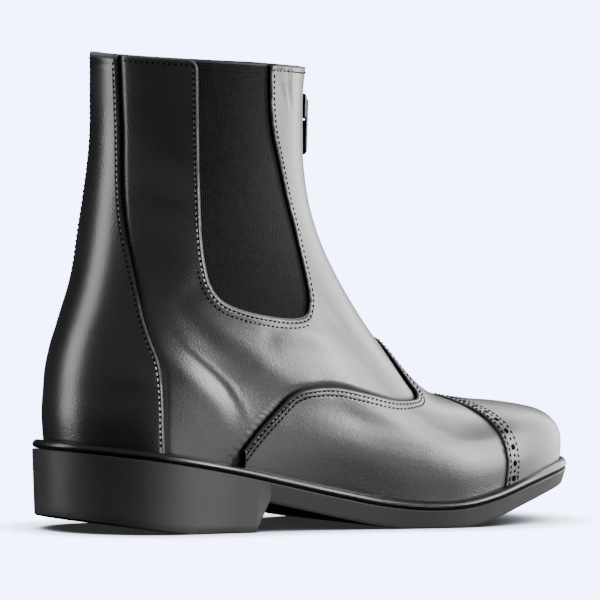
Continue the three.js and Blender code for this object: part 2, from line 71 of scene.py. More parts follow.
SHAFT_RINGS = np.array([
    # back, height, front, height, follow, swing, widths
    [-0.032, 0.300, 1.321, 0.067, 0.5, 0.45, 0.604, 0.570, 0.509, 0.470, 0.446, 0.385, 0.324],
    [-0.016, 0.400, 1.144, 0.280, 0.3, 0.30, 0.558, 0.538, 0.503, 0.470, 0.423, 0.349, 0.270],
    [-0.004, 0.500, 1.047, 0.455, 0.1, 0.20, 0.527, 0.514, 0.497, 0.473, 0.422, 0.332, 0.230],
    [0.007, 0.608, 1.003, 0.622, 0.0, 0.10, 0.507, 0.500, 0.493, 0.484, 0.430, 0.324, 0.209],
    [0.012, 0.742, 0.993, 0.758, 0.0, 0.00, 0.500, 0.500, 0.497, 0.491, 0.441, 0.324, 0.216],
    [0.007, 0.875, 0.990, 0.883, 0.0, 0.00, 0.500, 0.500, 0.500, 0.497, 0.446, 0.324, 0.216],
    [0.000, 1.000, 1.000, 0.975, 0.0, 0.00, 0.500, 0.500, 0.503, 0.503, 0.454, 0.331, 0.216]])
COLLAR = len(FOOT_RINGS) + len(SHAFT_RINGS) - 1.0
INNER_RISE = 2.2  # how much higher the top line stands on the inner side
FRONT = math.pi  # angle of the boot's front line; 0 is the back, a quarter turn the outer side


def smooth(at, rows, position, flat=False):
    """Cubic through a table's rows: the slope at a row is the mean of the slopes on either
    side, each weighted by the other's length, and at the ends the end slope or none."""
    step = np.diff(at)
    wide = step.reshape((-1,) + (1,) * (rows.ndim - 1))
    rise = np.diff(rows, axis=0) / wide
    slope = np.zeros_like(rows)
    slope[1:-1] = (rise[1:] * wide[:-1] + rise[:-1] * wide[1:]) / (wide[:-1] + wide[1:])
    if not flat:
        slope[0], slope[-1] = rise[0], rise[-1]
    i = np.clip(np.searchsorted(at, position) - 1, 0, len(at) - 2)
    t = np.clip((position - at[i]) / step[i], 0, 1)
    t = t.reshape(t.shape + (1,) * (rows.ndim - 1))
    reach = step[i].reshape(t.shape)
    return (rows[i] * (1 + 2 * t) * (1 - t) ** 2 + slope[i] * reach * t * (1 - t) ** 2
            + rows[i + 1] * (3 - 2 * t) * t ** 2 + slope[i + 1] * reach * (t - 1) * t ** 2)


def lerp(a, b, share):
    """The value that lies share of the way from a to b."""
    return a + (b - a) * share


def sole_top(x):
    """Height of the sole's top line at x."""
    heights = SOLE_THICKNESS + SOLE_LINE[:, 1] * HEEL_PITCH + SOLE_LINE[:, 2] * TOE_SPRING
    return smooth(SOLE_LINE[:, 0], heights, np.asarray(x, float) / SOLE_LENGTH)


def centre_line(x):
    """Swing of the last's centre line towards the inner side at x."""
    return smooth(CENTRE_LINE[:, 0], CENTRE_LINE[:, 1], x / SOLE_LENGTH) * BALL_WIDTH


def rings_in_mm():
    """Both tables as rows of back x, z, front x, z, follow, swing and seven widths."""
    foot, shaft = FOOT_RINGS.copy(), SHAFT_RINGS.copy()
    for at, rise in ((0, 1), (2, 3)):
        foot[:, at] *= SOLE_LENGTH
        foot[:, rise] = sole_top(foot[:, at]) + foot[:, rise] * INSTEP_RISE
        shaft[:, at] = SHAFT_BACK + shaft[:, at] * SHAFT_LENGTH
        shaft[:, rise] = lerp(INSTEP_RISE, SHAFT_HEIGHT, shaft[:, rise])
    foot[:, 6:] *= BALL_WIDTH
    shaft[:, 6:] *= SHAFT_WIDTH
    return np.vstack([foot, shaft])


RINGS = rings_in_mm()


def last(ring, angle):
    """Point of the last. Along a ring x and z run from back to front with the cosine of
    the angle, z also follows the sole's curve, and y is a width times the sine."""
    row = smooth(np.arange(len(RINGS)), RINGS, ring)
    back, back_z, front, front_z, follow, swing = np.moveaxis(row[..., :6], -1, 0)
    share = (1 - np.cos(angle)) / 2
    x = lerp(back, front, share)
    chord = lerp(sole_top(back), sole_top(front), share)
    z = lerp(back_z, front_z, share) + follow * (sole_top(x) - chord)
    degrees = np.abs(np.degrees(angle)) % 360
    at = np.minimum(degrees, 360 - degrees) / 30
    widths = row[..., 6:]
    slope = np.zeros_like(widths)
    slope[..., 1:-1] = (widths[..., 2:] - widths[..., :-2]) / 2
    i = np.clip(at.astype(int), 0, 5)
    t = at - i

    def pick(table, j):
        return np.take_along_axis(table, j[..., None], -1)[..., 0]

    width = (pick(widths, i) * (1 + 2 * t) * (1 - t) ** 2 + pick(slope, i) * t * (1 - t) ** 2
             + pick(widths, i + 1) * (3 - 2 * t) * t ** 2
             + pick(slope, i + 1) * (t - 1) * t ** 2)
    y = swing * centre_line(x) - width * np.sin(angle)
    inner = np.clip((y + 22) / 40, 0, 1) * np.clip((ring - 13.6) / (COLLAR - 13.6), 0, 1) ** 2
    return np.stack([x, y, z + INNER_RISE * inner], -1)


def last_frame(ring, angle):
    """Point, outward normal, and the point's speed per ring and per radian."""
    nudge = 0.01
    low, high = np.maximum(ring - nudge, 0), np.minimum(ring + nudge, COLLAR)
    up = (last(high, angle) - last(low, angle)) / (high - low)[..., None]
    along = (last(ring, angle + nudge) - last(ring, angle - nudge)) / (2 * nudge)
    normal = np.cross(along, up)
    normal /= np.linalg.norm(normal, axis=-1, keepdims=True)
    return last(ring, angle), normal, up, along


# Quarters. Black full-grain calf, closed over a pig lining: one leather runs from the back
# strip round the ankle to the zip, with a notch for the elastic on either side. Wearing in
# the workshop has left soft folds behind the ankle and small puckers under the top line.
QUARTER_THICKNESS = 1.3
VAMP_LAP = 10.0  # how far the quarters run on under the vamp
QUARTER_ROW, GORE_SECOND_ROW = 1.9, 4.1  # distance of the stitch rows from the cut edge
LINING_OUT = -2.0
GORE_OUTLINE = np.array([
    # share of shaft length ahead of its back, share of the way up to the collar
    [0.240, 1.100], [0.260, 0.727], [0.281, 0.397], [0.315, 0.243], [0.372, 0.160],
    [0.489, 0.117], [0.669, 0.092], [0.783, 0.095], [0.824, 0.128], [0.828, 0.217],
    [0.787, 0.398], [0.690, 0.605], [0.605, 0.797], [0.575, 1.100]])
VAMP_EDGE = np.array([
    # share of sole length, share of instep rise, from the welt up to the peak
    [0.225, 0.200], [0.254, 0.369], [0.291, 0.528], [0.323, 0.636], [0.355, 0.733],
    [0.388, 0.765], [0.437, 0.769], [0.490, 0.736], [0.554, 0.689], [0.601, 0.681],
    [0.623, 0.694], [0.631, 0.728], [0.625, 0.780], [0.612, 0.888], [0.608, 0.945],
    [0.607, 1.000], [0.612, 1.060], [0.625, 1.150]])
CAP_EDGE = np.array([
    [0.728, 0.850], [0.736, 0.696], [0.744, 0.660], [0.757, 0.590], [0.762, 0.503],
    [0.768, 0.416], [0.771, 0.333], [0.769, 0.218], [0.766, 0.050]])
SLIT_WIDTH, SLIT_FOOT = 8.0, 0.083
BARE_ABOVE = 84.0  # the notch's raw edge; below this height every edge is inked
CORNER = 4.0  # radius of the quarter's top corner beside the elastic
STRIP_EDGE = np.array([[0.0, 39.5], [3.0, 39.0], [5.5, 37.5], [7.6, 31.0], [9.9, 22.5],
                       [12.8, 16.0], [15.0, 14.0]])  # ring number, degrees from the back
FOLDS = [
    # height (ridge +, trough -), half width, path in x and z
    (0.55, 5.2, [(30.6, 87), (34.8, 75), (42.8, 69.4), (51.7, 62.8), (60.2, 55.1), (64, 49)]),
    (-0.12, 1.8, [(40, 84), (46, 77), (54, 70.5), (62, 64), (69, 56.5), (73, 48)]),
    (0.16, 1.2, [(44.8, 80), (53.7, 73.4), (61.7, 67.6), (69.1, 60.8), (74.2, 54.1),
                 (77.6, 48.5)]),
    (-0.1, 1.0, [(64, 63), (69, 57.5), (74, 51)]),
    (0.1, 1.0, [(67, 63.5), (71.5, 57), (76.2, 50)]),
    (0.6, 7.0, [(52, 90), (58.9, 84), (77, 74.1), (93.5, 65.7), (106, 62.2)]),
    (-0.5, 5.0, [(44, 94), (52, 86), (62, 79), (76, 72)]),
    (0.6, 15.0, [(34, 82), (42, 70), (52, 63), (62, 55), (68, 44), (72, 32)]),
    (-0.4, 9.0, [(34, 60), (40, 48), (47, 38), (54, 28)]),
    (0.5, 5.0, [(95, 82), (106, 84), (118, 82), (130, 76)]),
    (-0.5, 4.5, [(88, 86), (100, 91), (115, 92), (130, 88)]),
    (-0.35, 3.0, [(118, 96), (126, 88), (136, 80), (148, 72)]),
    (-0.5, 5.0, [(60, 112), (52, 104), (44, 99), (35, 97)]),
    (-0.5, 1.6, [(90.5, 197), (92, 190), (95, 182)]),
    (0.45, 1.5, [(94.2, 197), (95, 190), (98, 181)]),
    (-0.5, 1.5, [(97.4, 197), (98, 190), (101, 182)]),
    (0.35, 1.6, [(101, 197), (101.5, 189), (104, 181)]),
    (-0.3, 6.0, [(25, 172), (34, 160), (46, 152)]),
    (0.3, 5.0, [(28, 150), (36, 143), (46, 140)]),
    (0.35, 9.0, [(30, 128), (40, 120), (52, 116)]),
    (0.75, 10.0, [(98, 41), (112, 41), (130, 39), (148, 33), (164, 26)]),
    (-0.3, 5.0, [(14, 88), (20, 84), (28, 83)]),
    (-0.25, 5.0, [(12, 64), (20, 60), (28, 60)]),
]


def path_distance(x, z, path):
    """Distance from points to a broken line, and how far along it, as a share, they lie."""
    start, end = path[:-1], path[1:]
    step = end - start
    length = np.hypot(*step.T)
    dx, dz = x[..., None] - start[:, 0], z[..., None] - start[:, 1]
    t = np.clip((dx * step[:, 0] + dz * step[:, 1]) / length ** 2, 0, 1)
    away = np.hypot(dx - t * step[:, 0], dz - t * step[:, 1])
    nearest = away.argmin(-1)[..., None]
    before = np.concatenate([[0], np.cumsum(length)])
    share = (before[nearest] + np.take_along_axis(t * length, nearest, -1)) / before[-1]
    return np.take_along_axis(away, nearest, -1)[..., 0], share[..., 0]


def relief(point):
    """Height of the folds: each is a bell across its line that swells and dies along it.
    The inner side has the same folds, shifted and weaker."""
    total = np.zeros(point.shape[:-1])
    outer = point[..., 1] < 0
    for height, half, path in FOLDS:
        line = curve_through(np.array(path, float), 4)
        shift = np.where(outer, 0.0, 4.0)
        away, share = path_distance(point[..., 0] + shift, point[..., 2], line)
        swell = np.sin(np.pi * np.clip(0.12 + 0.76 * share, 0, 1)) ** 0.8
        bell = height * swell * np.exp(-((away / half) ** 2))
        total += np.where(outer, bell, 0.7 * bell)
    side = np.clip(np.abs(point[..., 1]) / 12, 0, 1)
    return total * side


def skin(ring, angle, offset):
    """Point of the last moved out along its normal by offset and the folds."""
    point, normal, _, _ = last_frame(ring, angle)
    return point + normal * (offset + relief(point))[..., None]


def curve_through(points, divisions=8):
    """Smooth curve through points, each span cut into equal steps of the parameter."""
    p = np.vstack([points[:1], points, points[-1:]])
    t = (np.arange(divisions) / divisions)[:, None, None]
    p0, p1, p2, p3 = p[:-3], p[1:-2], p[2:-1], p[3:]
    v0, v1 = (p2 - p0) / 2, (p3 - p1) / 2
    out = ((2 * p1 - 2 * p2 + v0 + v1) * t ** 3 + (3 * p2 - 3 * p1 - 2 * v0 - v1) * t ** 2
           + v0 * t + p1)
    return np.vstack([out.transpose(1, 0, 2).reshape(-1, 2), points[-1:]])


def outline_depth(x, z, outline):
    """Distance into a closed side outline: positive inside it, negative outside."""
    a, b = outline, np.roll(outline, -1, axis=0)
    away = np.full(x.shape, 1e9)
    inside = np.zeros(x.shape, bool)
    for (ax, az), (bx, bz) in zip(a, b):
        t = np.clip(((x - ax) * (bx - ax) + (z - az) * (bz - az))
                    / ((bx - ax) ** 2 + (bz - az) ** 2 + 1e-12), 0, 1)
        away = np.minimum(away, np.hypot(x - ax - t * (bx - ax), z - az - t * (bz - az)))
        if az != bz:
            inside ^= ((az > z) != (bz > z)) & (x < ax + (bx - ax) * (z - az) / (bz - az))
    return np.where(inside, away, -away)


def shaft_place(table):
    """Shares of the shaft as x and z."""
    return np.stack([SHAFT_BACK + table[:, 0] * SHAFT_LENGTH,
                     lerp(INSTEP_RISE, SHAFT_HEIGHT, table[:, 1])], -1)


def depth_in(outline, sign=1):
    """A function of ring and angle: depth into a closed side outline, or out of it."""
    def depth(ring, angle):
        point = last(ring, angle)
        return sign * outline_depth(point[..., 0], point[..., 2], outline)

    return depth


gore_line = curve_through(shaft_place(GORE_OUTLINE))
vamp_line = curve_through(VAMP_EDGE * [SOLE_LENGTH, INSTEP_RISE])
cap_line = curve_through(CAP_EDGE * [SOLE_LENGTH, INSTEP_RISE])
beyond = SOLE_LENGTH * 1.4
vamp_region = np.vstack([vamp_line, [[beyond, vamp_line[-1, 1]], [beyond, -beyond],
                                     [vamp_line[0, 0], -beyond]]])
cap_region = np.vstack([cap_line, [[cap_line[-1, 0], -beyond], [beyond, -beyond],
                                   [beyond, beyond], [cap_line[0, 0], beyond]]])
gore_side = depth_in(gore_line, -1)
vamp_side, cap_side = depth_in(vamp_region), depth_in(cap_region)
slit_end = lerp(INSTEP_RISE, SHAFT_HEIGHT, SLIT_FOOT)


def slit_away(point, half=SLIT_WIDTH / 2):
    """Distance out from the zip's slit, a slot with a round lower end in the front."""
    y, z = point[..., 1], point[..., 2]
    foot = slit_end + half
    away = np.where(z > foot, np.abs(y), np.hypot(y, z - foot)) - half
    return np.where(point[..., 0] > SHAFT_BACK + SHAFT_LENGTH / 2, away, 1e3)


def rounded_both(a, b, radius):
    """Depth into two regions at once, with a corner of that radius where they meet."""
    corner = radius - np.hypot(np.maximum(radius - a, 0), np.maximum(radius - b, 0))
    return np.where((a < radius) & (b < radius), corner, np.minimum(a, b))


def below_collar(ring, angle):
    """Distance down from the collar."""
    point, _, up, _ = last_frame(ring, angle)
    return (COLLAR - ring) * np.linalg.norm(up, axis=-1)


def quarter_depth(ring, angle):
    """Depth into the quarters: outside the elastic, beside the zip, a little under the vamp."""
    point = last(ring, angle)
    gore = gore_side(ring, angle)
    rear = point[..., 0] < SHAFT_BACK + 0.45 * SHAFT_LENGTH
    top = below_collar(ring, angle)
    gore = np.where(rear, rounded_both(gore, top, CORNER), gore)
    return np.minimum(np.minimum(gore, slit_away(point)),
                      VAMP_LAP - vamp_side(ring, angle))


def strip_depth(ring, angle):
    """Distance in from the strip's edge along the ring."""
    reach = np.radians(smooth(STRIP_EDGE[:, 0], STRIP_EDGE[:, 1], ring))
    _, _, _, along = last_frame(ring, angle)
    return (reach - np.abs(angle)) * np.linalg.norm(along, axis=-1)


def slopes(depth, ring, angle):
    """Depth and its change per ring and per radian."""
    nudge = 2e-3
    here = depth(ring, angle)
    down = ring > COLLAR / 2
    step = np.where(down, -nudge, nudge)
    return (here, (depth(ring + step, angle) - here) / step,
            (depth(ring, angle + nudge) - here) / nudge)


def cut_sheet(rings, angles, depth, closed=False):
    """Grid on the last, cut to where depth is positive. Of each grid line that crosses the
    outline the nearest point slides onto it, then cells outside fall away and cells with
    one corner outside keep their other half. Returns ring, angle, depth, quads, triangles."""
    ring, angle = np.meshgrid(rings, angles, indexing="ij")
    per_ring = np.gradient(rings)[:, None] + 0 * ring
    per_angle = np.gradient(angles)[None, :] + 0 * ring
    for turn in range(3):
        here, by_ring, by_angle = slopes(depth, ring, angle)
        across, around = by_ring * per_ring, by_angle * per_angle
        if turn == 0:
            upright = np.abs(across) > np.abs(around)
            steepest = np.where(upright, across, around)
            on = np.abs(here) < 0.5 * np.abs(steepest)
        steepest = np.where(upright, across, around)
        shift = np.clip(-here / np.where(np.abs(steepest) < 1e-6, 1e-6, steepest), -0.6, 0.6)
        ring = np.clip(ring + np.where(on & upright, shift * per_ring, 0), 0, COLLAR)
        angle = angle + np.where(on & ~upright, shift * per_angle, 0)
    here, by_ring, by_angle = slopes(depth, ring, angle)
    out = (here < 0) & ~on
    index = np.arange(ring.size).reshape(ring.shape)
    if closed:
        index = np.hstack([index, index[:, :1]])
    corners = np.stack([index[:-1, :-1], index[:-1, 1:], index[1:, 1:], index[1:, :-1]], -1)
    corners = corners.reshape(-1, 4)
    flat_out, flat_on, flat_depth = out.ravel(), on.ravel(), here.ravel()
    outside = flat_out[corners]
    count = outside.sum(1)
    all_on = flat_on[corners].all(1)
    keep = (count == 0) & (~all_on | (flat_depth[corners].mean(1) > 0))
    quads = corners[keep]
    halves = corners[count == 1]
    first = outside[count == 1].argmax(1)
    order = (first[:, None] + np.arange(1, 4)) % 4
    triangles = np.take_along_axis(halves, order, 1)
    used = np.unique(np.concatenate([quads.ravel(), triangles.ravel()]))
    renumber = np.zeros(ring.size, int)
    renumber[used] = np.arange(len(used))
    ring, angle = ring.ravel()[used], angle.ravel()[used]
    edge = np.maximum(millimetres(depth, ring, angle), 0)
    return ring, angle, edge, renumber[quads], renumber[triangles]


def millimetres(depth, ring, angle):
    """A depth turned into true distance along the leather: divided by its steepness."""
    here, by_ring, by_angle = slopes(depth, ring, angle)
    _, _, up, along = last_frame(ring, angle)
    g = np.stack([by_ring, by_angle], -1)
    return here / np.sqrt(np.maximum((g * uphill(g, up, along)).sum(-1), 0.04))


def uphill(g, up, along):
    """Turns a slope in ring and angle into the step on the surface that climbs it."""
    uu, ua, aa = (up * up).sum(-1), (up * along).sum(-1), (along * along).sum(-1)
    size = uu * aa - ua ** 2
    return np.stack([(aa * g[..., 0] - ua * g[..., 1]) / size,
                     (uu * g[..., 1] - ua * g[..., 0]) / size], -1)


def piece(name, points, faces, materials, replaced=(), groups=None, layers=None, sharp=40):
    """A mesh object from points in the last's millimetres, riding on the boot. Faces are
    lists of arrays; a group gives each array its material; layers are point attributes."""
    mesh = bpy.data.meshes.new(name)
    rows = [f.tolist() for f in faces if len(f)]
    mesh.from_pydata(((points - MIDDLE) / 1000).tolist(), [], sum(rows, []))
    groups = [0] * len(faces) if groups is None else groups
    numbers = np.concatenate([np.full(len(f), g) for f, g in zip(faces, groups)])
    mesh.polygons.foreach_set("material_index", numbers.astype(np.int32))
    mesh.polygons.foreach_set("use_smooth", np.ones(len(numbers), bool))
    for label, values in (layers or {}).items():
        attribute = mesh.attributes.new(label, "FLOAT", "POINT")
        attribute.data.foreach_set("value", np.asarray(values, np.float32))
    for material in materials:
        mesh.materials.append(material)
    work = bmesh.new()
    work.from_mesh(mesh)
    bmesh.ops.remove_doubles(work, verts=work.verts, dist=2e-6)
    bmesh.ops.dissolve_degenerate(work, edges=work.edges, dist=1e-6)
    work.to_mesh(mesh)
    work.free()
    mesh.set_sharp_from_angle(angle=math.radians(sharp))
    obj = bpy.data.objects.new(name, mesh)
    bpy.context.scene.collection.objects.link(obj)
    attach(obj, "boot")
    if replaced:
        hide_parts(*replaced)
    return obj


def leather_piece(name, sheet, outer, inner, materials, replaced=(), layers=None,
                  rim_group=None, rounding=0.6):
    """Gives a cut sheet its thickness. The outer face dips by rounding at the cut edge, on a
    quarter circle; the rim joins both faces along every edge that has one face only."""
    ring, angle, edge, quads, triangles = sheet
    point, normal, _, _ = last_frame(ring, angle)
    lift = relief(point)
    near = np.clip(edge / (2.2 * rounding), 0, 1)
    dip = rounding * (1 - np.sqrt(1 - (1 - near) ** 2))
    top = outer(ring, angle) if callable(outer) else outer
    outside = point + normal * (top - dip + lift)[..., None]
    inside = point + normal * (inner + lift)[..., None]
    count = len(ring)
    sides = np.concatenate([quads[:, [i, (i + 1) % 4]] for i in range(4)]
                           + [triangles[:, [i, (i + 1) % 3]] for i in range(3)])
    keys = sides[:, 0] * count + sides[:, 1]
    twins = sides[:, 1] * count + sides[:, 0]
    border = sides[~np.isin(keys, twins)]
    rim = np.stack([border[:, 1], border[:, 0], border[:, 0] + count, border[:, 1] + count], -1)
    faces = [quads, triangles, quads[:, ::-1] + count, triangles[:, ::-1] + count]
    groups = [0, 0, 1, 1]
    if rim_group is None:
        faces, groups = faces + [rim], groups + [2]
    else:
        chosen = rim_group(outside, border)
        faces, groups = faces + [rim[~chosen], rim[chosen]], groups + [2, 3]
    values = {"seam": np.concatenate([edge, edge])}
    for label, made in (layers or {}).items():
        values[label] = np.concatenate([made, made])
    return piece(name, np.vstack([outside, inside]), faces, materials, replaced,
                 groups, values)


class Wire:
    """An output of a shader node. Arithmetic on wires adds Math nodes."""

    def __init__(self, socket):
        self.socket = socket

    def math(self, operation, *values):
        return add_node(self.socket.id_data, "ShaderNodeMath", {"operation": operation},
                        dict(enumerate(values)))

    def __add__(self, other):
        return self.math("ADD", self, other)

    def __sub__(self, other):
        return self.math("SUBTRACT", self, other)

    def __rsub__(self, other):
        return self.math("SUBTRACT", other, self)

    def __mul__(self, other):
        return self.math("MULTIPLY", self, other)

    def __truediv__(self, other):
        return self.math("DIVIDE", self, other)

    def __pow__(self, other):
        return self.math("POWER", self, other)

    __radd__, __rmul__ = __add__, __mul__

    def size(self):
        return self.math("ABSOLUTE", self)

    def sine(self):
        return self.math("SINE", self)

    def ramp(self, low, high, at_low=0.0, at_high=1.0):
        return add_node(self.socket.id_data, "ShaderNodeMapRange",
                        {"interpolation_type": "SMOOTHSTEP"},
                        {"Value": self, "From Min": low, "From Max": high,
                         "To Min": at_low, "To Max": at_high})


def add_node(tree, kind, settings, values, out=0):
    """Adds a node, sets its settings, then each socket to a value or a wire."""
    node = tree.nodes.new(kind)
    for key, value in settings.items():
        setattr(node, key, value)
    for key, value in values.items():
        socket = node.inputs[key]
        if isinstance(value, Wire):
            tree.links.new(value.socket, socket)
        else:
            socket.default_value = value
    return Wire(node.outputs[out])


def grey(value, warmth=0.0):
    """A near-neutral colour."""
    return (value * (1 + warmth), value, value * (1 - warmth), 1.0)


def mixed(tree, share, first, second):
    """Colour that goes from first to second with share."""
    return add_node(tree, "ShaderNodeMix", {"data_type": "RGBA"},
                    {0: share, 6: first, 7: second}, out=2)


def new_finish(name, constants):
    """An empty material with its shader's constants set; returns it, its tree and shader."""
    material = bpy.data.materials.new(name)
    material.use_nodes = True
    tree = material.node_tree
    shader = next(n for n in tree.nodes if n.type == "BSDF_PRINCIPLED")
    for key, value in constants.items():
        shader.inputs[key].default_value = value
    return material, tree, shader


def plug(tree, shader, **links):
    """Joins wires to the shader's sockets, named with underscores for spaces."""
    for key, wire in links.items():
        tree.links.new(wire.socket, shader.inputs[key.replace("_", " ")])


def object_place(tree):
    """Place on the piece, in metres."""
    return add_node(tree, "ShaderNodeTexCoord", {}, {}, out=3)


def noise(tree, place, scale, detail=2.0, roughness=0.5):
    """Noise from 0 to 1 with scale waves to a metre."""
    return add_node(tree, "ShaderNodeTexNoise", {},
                    {"Vector": place, "Scale": scale, "Detail": detail, "Roughness": roughness})


def bump(tree, height, distance, strength=1.0, under=None):
    """Normal from a height wire; under is a coarser bump that it adds to."""
    values = {"Height": height, "Distance": distance, "Strength": strength}
    if under:
        values["Normal"] = under
    return add_node(tree, "ShaderNodeBump", {}, values)


def attribute(tree, label):
    """A number that the mesh carries at each of its points."""
    return add_node(tree, "ShaderNodeAttribute", {"attribute_name": label}, {}, out=2)


def calf(name, rows=(), grain=1.0):
    """Polished black calf: fine pebbles under a millimetre across, softened by broad patches
    of handling. The cut edge is inked, or left raw where "bare" says so, and each stitch
    row lies in a pressed channel at its distance from the sewn edge. Within a millimetre of
    the cut edge the face is near black and rough: edge ink together with painted shade of
    the edge. Beside the edges of pieces sewn over it the face is painted near black as shade."""
    material, tree, shader = new_finish(
        name, {"IOR": 1.5, "Coat Roughness": 0.3, "Coat IOR": 1.5, "Specular IOR Level": 0.55})
    place = object_place(tree)
    seam, bare, shade_beside_overlay = [attribute(tree, label) for label in ("seam", "bare", "shade_beside_overlay")]
    warp = noise(tree, place, 210.0, 3.0)
    pebbles = add_node(tree, "ShaderNodeTexVoronoi", {"feature": "SMOOTH_F1"},
                       {"Vector": place, "Scale": 1400.0, "Smoothness": 0.4, "Randomness": 1.0})
    pores = noise(tree, place, 3000.0, 3.0)
    patches = noise(tree, place, 20.0, 2.5, 0.5)
    height = pebbles * 0.9 + pores * 0.4 + warp * 0.7
    normal = bump(tree, height, 0.0001 * grain, 0.5)
    for row in rows:
        bell = 1 - ((seam - row) / 0.7).size().ramp(0.0, 1.0)
        normal = bump(tree, bell * -1.0, 0.00016, 0.8, under=normal)
    # Near black and rough within a millimetre of the cut edge: edge ink together with painted
    # shade of the edge.
    inked = 1 - seam.ramp(0.3, 0.9)
    # Adds painted shade: near black beside the edges of pieces sewn over this leather.
    ink_and_shade = inked.math("MAXIMUM", inked, shade_beside_overlay)
    rough = patches.ramp(0.25, 0.8, 0.24, 0.31) + pores * 0.04
    rough = rough + ink_and_shade * (0.85 - rough)
    black = mixed(tree, patches.ramp(0.3, 0.8), grey(0.007, -0.02), grey(0.016, 0.0))
    # Near black where the edge is inked, and as painted shade beside the edges of pieces sewn
    # over it.
    black = mixed(tree, ink_and_shade, black, grey(0.003))
    chalky = bare * (1 - seam.ramp(0.2, 0.55))
    colour = mixed(tree, chalky, black, (0.11, 0.14, 0.14, 1))
    plug(tree, shader, Base_Color=colour, Roughness=rough, Normal=normal,
         Coat_Weight=patches.ramp(0.25, 0.85, 0.26, 0.14) * (1 - ink_and_shade))
    return material


def plain_finish(name, low, high, roughness, scale=300.0, depth=0.00005, constants=None,
                 warmth=0.0):
    """A finish whose colour and sheen wander a little with a fine noise."""
    material, tree, shader = new_finish(name, constants or {})
    place = object_place(tree)
    fine = noise(tree, place, scale, 3.0)
    broad = noise(tree, place, 40.0, 3.0)
    plug(tree, shader, Base_Color=mixed(tree, broad, grey(low, warmth), grey(high, warmth)),
         Roughness=broad.ramp(0.3, 0.7, roughness - 0.05, roughness + 0.05),
         Normal=bump(tree, fine, depth, 0.6))
    return material


quarter_calf = calf("quarter_calf", rows=(QUARTER_ROW,))
flesh_side = plain_finish("flesh_side", 0.035, 0.06, 0.85, 900.0, 0.0001)
inked_edge = plain_finish("inked_edge", 0.006, 0.012, 0.7, 900.0, 0.0001)
raw_edge = plain_finish("raw_edge", 0.09, 0.16, 0.6, 1400.0, 0.0002, warmth=-0.06)


front_of_gore = gore_line[len(gore_line) * 8 // 13:]


def behind_gore_front(ring, angle):
    """Distance from the front edge of the elastic's notch."""
    point = last(ring, angle)
    return path_distance(point[..., 0], point[..., 2], front_of_gore)[0]


def raw_rims(outside, border):
    """The rims along the rear and the foot of the notch, where the raw leather shows."""
    middle = (outside[border[:, 0]] + outside[border[:, 1]]) / 2
    x, z = middle[:, 0], middle[:, 2]
    near = np.abs(outline_depth(x, z, gore_line)) < 3
    return near & (path_distance(x, z, front_of_gore)[0] > 2.5) & (z < SHAFT_HEIGHT - 4)


def strip_groove(ring, angle):
    """How close a point lies outside the back strip's edge, from 1 beside it to 0."""
    return np.exp(-(np.minimum(strip_depth(ring, angle) + 0.9, 0) / 1.1) ** 2)


def vamp_groove(ring, angle):
    """The same beside the vamp's rear edge."""
    return np.exp(-np.maximum(-vamp_side(ring, angle) - 0.8, 0) ** 2)


def pressed_quarter(ring, angle):
    """The quarter's face, pressed in along the pieces that are sewn over it."""
    return -0.45 * np.maximum(strip_groove(ring, angle), vamp_groove(ring, angle))


quarter_rings = np.linspace(0.3, COLLAR, 200)
quarter_angles = np.linspace(0, 2 * np.pi, 290, endpoint=False)
quarter_sheet = cut_sheet(quarter_rings, quarter_angles, quarter_depth, closed=True)
ring, angle = quarter_sheet[:2]
point = last(ring, angle)
quarter_layers = {
    "bare": np.clip(behind_gore_front(ring, angle) / 2 - 1, 0, 1) * (point[:, 2] > BARE_ABOVE),
    # Painted shade on the quarter beside the back strip's and vamp's edges, on top of the pressed
    # groove there.
    "shade_beside_overlay": np.maximum(strip_groove(ring, angle), vamp_groove(ring, angle)),
    "seam": np.minimum(quarter_sheet[2], below_collar(ring, angle))}
leather_piece("quarter_leather", quarter_sheet, pressed_quarter, -QUARTER_THICKNESS,
              [quarter_calf, flesh_side, inked_edge, raw_edge],
              ["upper"], rim_group=raw_rims, layers=quarter_layers)


def beside_slit(ring, angle):
    """Distance from the zip's slit; the lining covers the whole inside but for it."""
    return slit_away(last(ring, angle))


pig_lining = plain_finish("pig_lining", 0.05, 0.085, 0.7, 1200.0, 0.00012, warmth=0.05)
lining_sheet = cut_sheet(np.linspace(0.1, COLLAR, 90),
                         np.linspace(0, 2 * np.pi, 140, endpoint=False), beside_slit,
                         closed=True)
leather_piece("lining", lining_sheet, LINING_OUT, LINING_OUT - 0.25,
              [flesh_side, pig_lining, inked_edge], rounding=0.05)


# Elastic gores. Woven rubber elastic, let in behind each notch of the quarters and a little
# deeper than the leather, with its top edge turned in and sewn just under the top line.
GORE_OUT, GORE_IN = -1.5, -1.9
GORE_TUCK = 3.0  # how far the elastic runs on behind the leather


def gore_depth(ring, angle):
    """Depth into the notch's outline, grown by the tuck, and down from the collar."""
    return np.minimum(GORE_TUCK - gore_side(ring, angle), below_collar(ring, angle) - 0.9)


